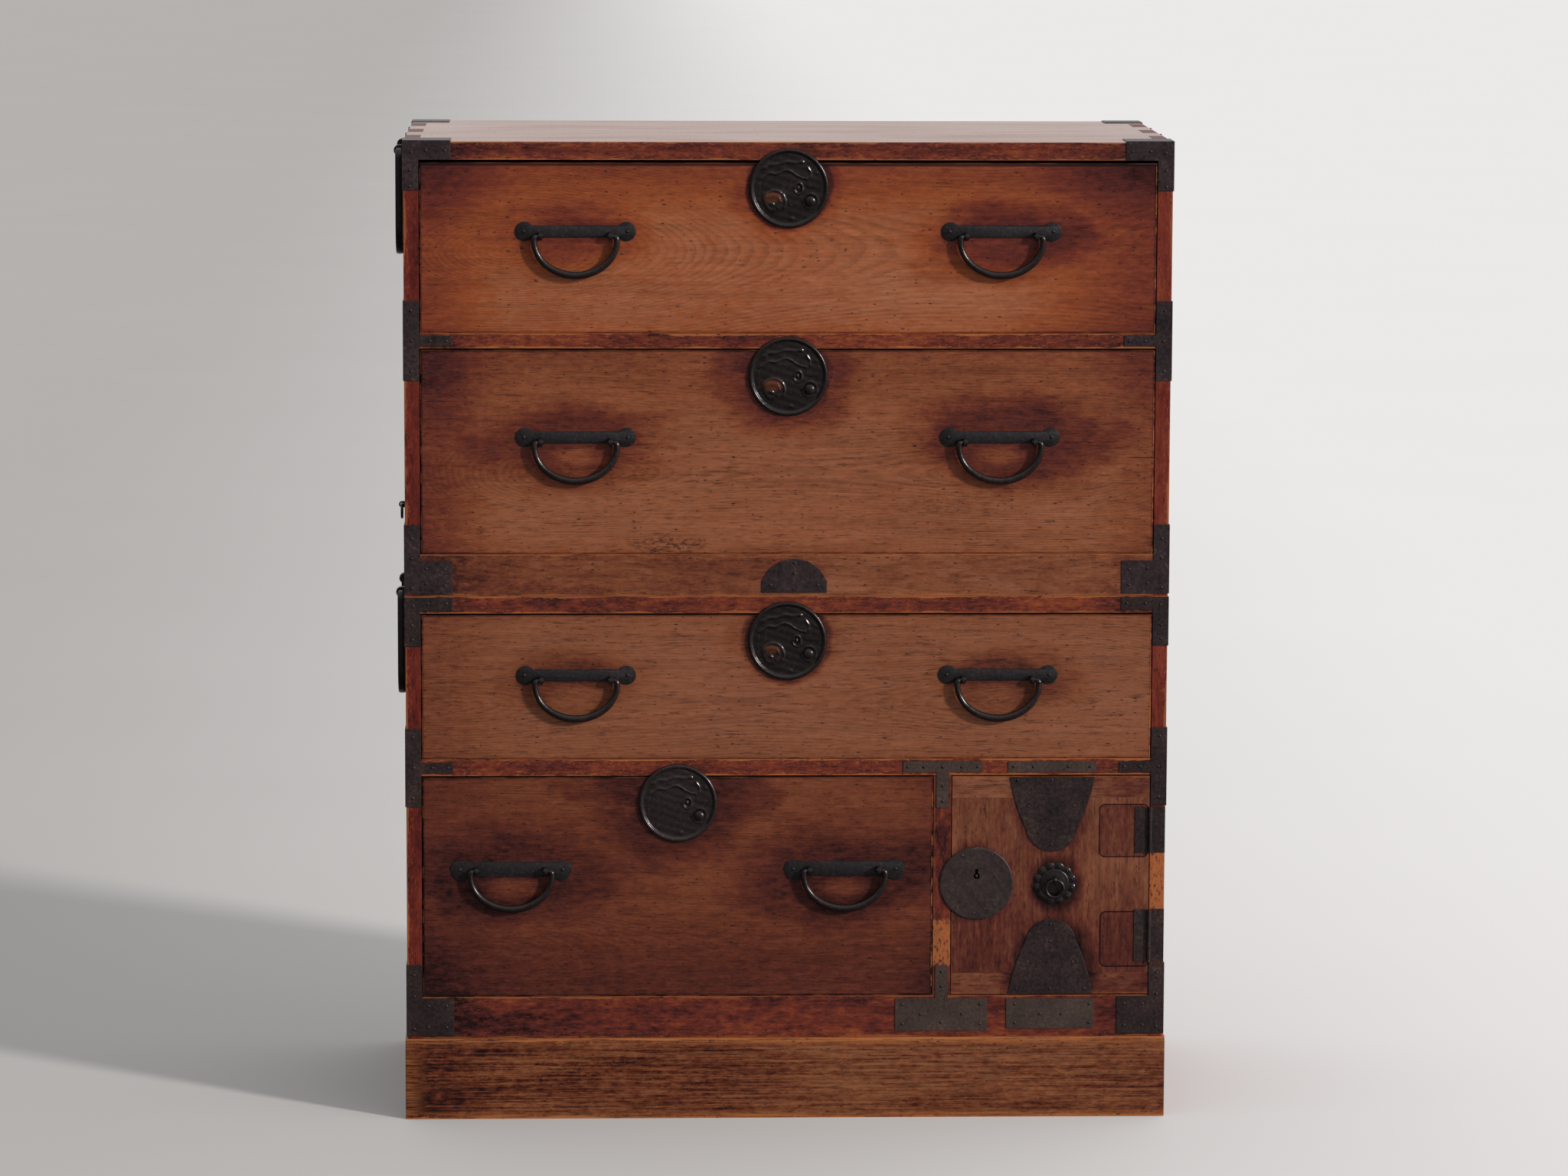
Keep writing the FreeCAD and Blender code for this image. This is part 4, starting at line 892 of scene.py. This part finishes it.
def lock_height(x, z, medallion):
    """How far a drawer's lock plate stands out at a spot."""
    radius = hypot(x, z)
    height = 1.5 + 0.7 * (1 - (radius / lock_radius) ** 2) + 0.35 * above(wave, x, z)
    for line, lift, width in ((wave, 1.1, 1.1), (crest, 0.9, 1.2), (ridge, 0.8, 1.7)):
        height += lift * swell(away_from(line, x, z), width)
    height += 0.22 * sin(x * 0.42 + z * 0.17 + 1.3) * sin(z * 0.5 - x * 0.2 + 0.4)
    for bead_x, bead_z, size, lift in beads:
        height += lift * dome(hypot(x - bead_x, z - bead_z), size)
    height += 0.7 * swell(hypot(x - button_at[0], z - button_at[1]) - 8.6, 1.0)
    if medallion:
        height += medallion_height(x - medallion_at[0], z - medallion_at[1])
    oval = hypot((x - keyhole_x) / 4.0, z / 5.4)
    height += 0.8 * swell((oval - 1.2) * 4, 1.0)
    if oval < 1:
        height -= 2.0 * min(1.0, (1 - oval) * 5)
        height += 1.9 * swell(hypot((x - keyhole_x) / 1.3, z / 2.4), 1.0)
    if radius > rim_start:
        height += (2.0 - height) * min((radius - rim_start) / 1.5, 1.0)
        height += 2.1 * dome(radius - rim_middle, 2.5)
    return height


def door_lock_height(x, z):
    """How far the door's nearly flat lock plate stands out; its keyhole's slot points up."""
    height = 1.7 + 0.12 * sin(x * 0.31 + 0.5) * sin(z * 0.27)
    hole = hypot(x, z - 9.0)
    slot = max(abs(x) / 1.5, abs(z - 13.5) / 4.0)
    if hole < 3.6 or slot < 1:
        height += 1.5 * swell(hole, 1.1) - 1.9
    height += 0.22 * swell(away_from([(21.9, 11.5), (27, 1), (32, -7)], x, z), 0.8)
    edge = hypot(x, z) - 42.5
    if edge > 0:
        height *= sqrt(max(0.0, 1 - (edge / 2.4) ** 2))
    return height


def worked_disc(bm, centre, radii, spokes, height_at):
    """A round grid that stands out by a function of (x, z), closed by its wall and back."""
    rings = []
    for radius in radii:
        rings.append([off(centre, x, height_at(x, z), z) for x, z in circle(spokes, radius)])
    rings.append([Vector((p.x, centre.y, p.z)) for p in rings[-1]])
    skin(bm, rings)


def block(bm, low, high, bevel):
    """A box with eased edges."""
    made = bmesh.ops.create_cube(bm, size=1.0)["verts"]
    for v in made:
        v.co = Vector([low[i] + (v.co[i] + 0.5) * (high[i] - low[i]) for i in range(3)])
    round_edges(bm, list({e for v in made for e in v.link_edges}), bevel)


def drawer_ironwork(d):
    """A drawer's lock plate and case, and the plates, eyes and nails of its handles."""
    rust, colours = (), ((26, 17, 17), (38, 28, 28), (60, 45, 38))
    if not d.flared:
        rust = (((d.lock.x - 17.5 * MM, d.lock.z - 10 * MM), (0.014, 0.0085)),)
        colours = ((17, 9, 9), (28, 18, 18), (50, 34, 27))
    lock_iron = Iron(d.name + "_lock_iron", 20.0 + d.lock.z * 9, colours, 0.26, rust, 0.6,
                     0.65).material
    bm = bmesh.new()
    worked_disc(bm, d.lock, [47.2 * (i / 62) ** 0.9 for i in range(1, 63)], 168,
                lambda x, z: lock_height(x, z, not d.flared))
    face = piece(d.name + "_lock_face", bm, d.name, lock_iron, sharp=60)
    bm = bmesh.new()
    back = d.face + 20 * MM
    block(bm, (d.middle - 37 * MM, back, d.lock.z - 26 * MM),
          (d.middle + 37 * MM, back + 9 * MM, min(d.lock.z + 26 * MM, d.box[1].z - 4 * MM)), 1.0)
    case = piece(d.name + "_lock_case", bm, d.name, iron_inner)
    bm = bmesh.new()
    heads = bmesh.new()
    for pivot in d.bails.values():
        foot = Vector((0, d.face, pivot.z))
        height = pivot.z + (0.8 if d.flared else plate_rise) * MM
        outline = flared(pivot.x, height) if d.flared else dumbbell(pivot.x, height)
        plate(bm, outline, d.face, 1.3, 0.5)
        for s in (-1, 1):
            foot.x = pivot.x + s * post_at * MM
            eyelet(bm, foot, -Y, X, (d.face - pivot.y) / MM, 4.6, 2.5, 4.6)
            spot = Vector((pivot.x + s * 61.5 * MM, d.face - 1.3 * MM, height))
            stud(heads, spot, -Y, 2.2, 1.2)
    plates = piece(d.name + "_handle_plates", bm, d.name, iron_handle)
    piece(d.name + "_handle_nails", heads, d.name, iron_handle)
    for part in (face, case, plates):
        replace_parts(part, d.name + "_irons")


def lock_button(d):
    """The domed head of the button that frees the lock, on its stem."""
    body = d.name + "_lock_button"
    bm = bmesh.new()
    profile = [(3.5, -20), (3.5, 4.2), (5.6, 4.4), (6.1, 5.0), (5.8, 5.8), (4.6, 6.7), (2.6, 7.4),
               (0.4, 7.6)]
    lathe(bm, profile, d.button, -Y, 28)
    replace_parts(piece(body + "_head", bm, body, iron_bar, sharp=50), body)


for d in drawers:
    drawer_ironwork(d)
    lock_button(d)
    for s, pivot in d.bails.items():
        bail(f"{d.name}_bail_{s}_bar", f"{d.name}_bail_{s}", pivot)


# Carrying handles and rings

pole_post_at = 63.0


def pole_handle(level, side_name):
    """A carrying handle: a deep U of square bar with round pins at its ends."""
    body = f"{level}_pole_handle_{side_name}"
    pivot = pivots[body + "_swing"]
    half, drop, corner, low, pin, bar = 78.0, 122.0, 8.5, 30.0, 3.6, 4.5
    points = [(half - corner - 10.5, 0.0), (half - corner - 1.0, 0.0)]
    points += arc(half - corner, -corner, corner, 80, 0, 6)
    points += arc(half - low, low - drop, low, 0, -84, 12)
    points = both_halves(points + [(20, -drop), (0, -drop)])
    path = [Vector((pivot.x, pivot.y + a * MM, pivot.z + b * MM)) for a, b in points]
    radii = [(pin if b > -1 else bar) * MM for a, b in points]
    bm = bmesh.new()
    tube(bm, path, radii, X, 24, square=0.75)
    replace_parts(piece(body + "_bar", bm, body, iron_bar), body)


def pole_posts(level):
    """The round plates and eyes of a section's carrying handles, and the small ring's eye."""
    name = level + "_pole_posts"
    bm = bmesh.new()
    heads = bmesh.new()
    for s, side_name in ((-1, "left"), (1, "right")):
        pivot = pivots[f"{level}_pole_handle_{side_name}_swing"]
        out = X * s
        for k in (-1, 1):
            spot = Vector((s * side, pivot.y + k * pole_post_at * MM, pivot.z))
            lathe(bm, [(21, 0), (21, 0.9), (20.2, 1.6), (12, 2.0), (9.5, 2.1)], spot, out, 40)
            eyelet(bm, spot, out, Y, abs(pivot.x - s * side) / MM, 6.4, 3.8, 9.0)
            for a, b in circle(3, 15.5, 0.25):
                stud(heads, spot + Y * (a * MM) + Z * (b * MM) + out * (1.7 * MM), out)
    if level == "upper":
        pivot = pivots["side_ring_swing"]
        spot = Vector((-side, pivot.y, pivot.z))
        lathe(bm, [(11, 0), (11, 0.6), (10.2, 1.2), (3, 1.5)], spot, -X, 28)
        eyelet(bm, spot, -X, Y, abs(pivot.x + side) / MM, 3.7, 1.95, 3.0)
    posts = piece(name + "_eyes", bm, level + "_case", iron_plain)
    piece(name + "_nails", heads, level + "_case", iron_bar)
    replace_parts(posts, name)


for level in ("upper", "lower"):
    for side_name in ("left", "right"):
        pole_handle(level, side_name)
    pole_posts(level)


def hanging_ring(body, along, radius, bar):
    """A closed ring that hangs from its eye and lies along a plane; sizes in millimetres."""
    pivot = pivots[body + "_swing"]
    centre = pivot - Z * (radius * MM)
    path = [centre + along * (a * MM) + Z * (b * MM) for a, b in circle(40, radius)]
    bm = bmesh.new()
    tube(bm, path, [bar * MM] * len(path), along.cross(Z), 12, True)
    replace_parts(piece(body + "_bar", bm, body, iron_bar), body)


hanging_ring("door_ring", X, 10.5, 1.7)
hanging_ring("side_ring", Y, 8.0, 1.5)


# Door fittings

def seat(name):
    """The middle of a node's rear face."""
    low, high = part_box(name)
    return Vector(((low.x + high.x) / 2, high.y, (low.z + high.z) / 2))


def door_rosette():
    """A flower of iron sheet under a turned boss, with the eye of the ring."""
    centre = seat("door_rosette")
    bm = bmesh.new()
    lobes, spokes, outer, notch = 12, 144, 26.0, 2.0
    rings = []
    for share, lift in ((0.35, 2.6), (0.62, 1.5), (0.70, 1.3), (0.80, 1.9), (0.92, 1.8),
                        (0.98, 1.2), (1.0, 0.6), (1.0, 0.0)):
        ring = []
        for c, s in circle(spokes):
            petal = abs(cos(lobes * atan2(s, c) / 2))
            radius = (outer - notch * petal ** 3) * share
            rise = lift * (1 - 0.45 * petal ** 4) if 0.65 < share < 0.99 else lift
            ring.append(off(centre, radius * c, rise, radius * s))
        rings.append(ring)
    skin(bm, rings)
    lathe(bm, [(17.2, 1.2), (17.2, 2.3), (16, 3.0), (14.2, 2.7), (13.2, 3.0), (11, 3.5), (4, 3.7)],
          centre, -Y, 48)
    pivot = pivots["door_ring_swing"]
    foot = Vector((pivot.x, centre.y - 3 * MM, pivot.z))
    eyelet(bm, foot, -Y, X, (foot.y - pivot.y) / MM, 3.95, 2.15, 3.0)
    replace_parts(piece("door_rosette_flower", bm, "door", iron_bar, sharp=50), "door_rosette")
    heads = bmesh.new()
    for x, z in circle(lobes, 21.3, 0.5):
        stud(heads, off(centre, x, 1.6, z), -Y, 1.3, 0.8)
    piece("door_rosette_beads", heads, "door", iron_bar)


door_rosette()


def door_lock():
    """The door's round lock plate and its nails."""
    centre = seat("door_lock_plate")
    bm = bmesh.new()
    worked_disc(bm, centre, [44.4 * i / 52 for i in range(1, 53)], 144, door_lock_height)
    lock = piece("door_lock_face", bm, "door", iron_door_lock, sharp=60)
    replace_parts(lock, "door_lock_plate")
    heads = bmesh.new()
    for x, z in ((-23.5, -29), (-3, -36), (10, -31), (21.5, -26), (-17, 34), (18, 35)):
        stud(heads, off(centre, x, 1.6, z), -Y, 1.7, 0.6)
    piece("door_lock_nails", heads, "door", iron_door_lock)


door_lock()


def inner_pulls():
    """The turned knobs of the small drawers behind the door."""
    low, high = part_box("inner_drawer_pulls")
    bm = bmesh.new()
    count = 3
    radius = 9 * MM
    step = (high.z - low.z - 2 * radius) / (count - 1)
    for i in range(count):
        spot = Vector(((low.x + high.x) / 2, high.y, low.z + radius + i * step))
        lathe(bm, [(9, 0), (9, 0.6), (8.3, 1.0), (3.4, 1.2), (2.9, 2.6), (4.2, 3.6), (6.3, 5.2),
                   (6.6, 6.4), (6.0, 7.8), (4.2, 8.8), (1.5, 9.0)], spot, -Y, 28)
    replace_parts(piece("inner_drawer_knobs", bm, "lower_case", iron_inner), "inner_drawer_pulls")


inner_pulls()


# Nails on the sheet ironwork

def nails(name, body, spots, plane, radius=1.9):
    """Nail heads on a plane of the front; spots are (x, z) in millimetres."""
    bm = bmesh.new()
    for x, z in spots:
        stud(bm, Vector((x * MM, plane, z * MM)), -Y, radius, 1.0)
    piece(name, bm, body, iron_plain)


def grid(xs, zs):
    """A spot, a row or a block of spots."""
    return [(x, z) for x in xs for z in zs]


def on_both(spots):
    """Spots and their mirror images."""
    return [(s * a, b) for a, b in spots for s in (-1, 1)]


leaf = front - 1.2 * MM
upper_spots = on_both(
    grid([406, 428], [1165]) + [(446, 1163)] + grid([405, 424, 446], [940])
    + grid([408], [648, 667]) + grid([430], [650, 668])
    + grid([447], [1142, 1123, 976, 904, 645, 680, 704]))
upper_spots += [(8, 675), (8, 662), (-20, 648), (36, 648)]
nails("upper_front_nails", "upper_case", upper_spots, leaf)
lower_spots = on_both(
    grid([406, 428], [626]) + [(446, 624)] + grid([405, 424, 446], [428])
    + grid([408, 430], [112, 138]) + grid([447], [600, 583, 465, 391, 110, 150, 176]))
lower_spots += grid([145, 164, 187, 210, 229, 272, 296, 338, 364], [428])
lower_spots += grid([187], [405, 386, 116, 160, 178]) + grid([162, 212, 306, 332], [126])
lower_spots += grid([140, 234], [114, 138]) + grid([276, 366], [115, 138])
nails("lower_front_nails", "lower_case", lower_spots, leaf)
shield_spots = (grid([277, 318, 359], [412, 157]) + grid([290, 345], [380, 190])
                + grid([318], [352, 333, 215, 236]))
nails("door_shield_nails", "door", shield_spots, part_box("door_shields")[0].y, 1.7)


# Stage: floor, light and camera

def floor():
    """A pale floor without a horizon, painted darker on the left as shade and lighter to the right,
    the side of the key light.
    """
    g = Graph("floor_painted_shade")
    cloud = g.swing(g.noise((1.5, 1.5, 1.5), 3.0, 0.5, 2.0), 0.06)
    painted_light_side = g.add(g.fade(g.x, -1.6, 1.6), cloud)
    colour = g.mix(painted_light_side, (0.42, 0.406, 0.394, 1), (0.78, 0.765, 0.762, 1))
    material = g.finish(colour, 0.9, shine=0.05)
    bm = bmesh.new()
    bmesh.ops.create_grid(bm, x_segments=2, y_segments=2, size=60.0)
    obj = link("floor", mesh_of("floor", bm, material))
    obj.visible_glossy = False


floor()

world = bpy.data.worlds.new("studio")
bpy.context.scene.world = world
world.use_nodes = True
tree = world.node_tree
background = tree.nodes["Background"]
direction = tree.nodes.new("ShaderNodeTexCoord").outputs["Generated"]
aim = tree.nodes.new("ShaderNodeVectorMath")
aim.operation = "DOT_PRODUCT"
tree.links.new(direction, aim.inputs[0])
aim.inputs[1].default_value = Vector((0.45, 0.35, 0.82)).normalized()
spread = tree.nodes.new("ShaderNodeMapRange")
spread.interpolation_type = "SMOOTHSTEP"
tree.links.new(aim.outputs["Value"], spread.inputs[0])
for index, value in ((1, -0.9), (2, 1.0), (3, 0.05), (4, 0.92)):
    spread.inputs[index].default_value = value
tree.links.new(spread.outputs[0], background.inputs["Strength"])
background.inputs["Color"].default_value = (0.97, 0.985, 1.0, 1)

sun = bpy.data.lights.new("key", "SUN")
sun.energy = 3.1
sun.angle = radians(6)
sun.color = (1.0, 0.965, 0.92)
to_sun = Vector((0.76, -0.56, 0.34))
link("key", sun).rotation_euler = (-to_sun).to_track_quat("-Z", "Y").to_euler()

yaw, pitch, roll = (radians(a) for a in (2.032, 7.824, 0.206))
ahead = Vector((sin(yaw), cos(yaw), 0))
forward = ahead * cos(pitch) - Z * sin(pitch)
right = Vector((cos(yaw), -sin(yaw), 0))
up = right.cross(forward)
right, up = (right * cos(roll) + up * sin(roll),
             up * cos(roll) - right * sin(roll))
lens = bpy.data.cameras.new("camera")
lens.sensor_fit = "HORIZONTAL"
lens.sensor_width = 36.0
lens.lens = 132.06
lens.clip_end = 200.0
camera = link("camera", lens)
camera_at = (-0.245, front - 6.789, 1.578)
turn = Matrix((right, up, -forward)).transposed().to_4x4()
camera.matrix_world = Matrix.Translation(camera_at) @ turn
bpy.context.scene.camera = camera
bpy.context.scene.view_settings.view_transform = "Standard"
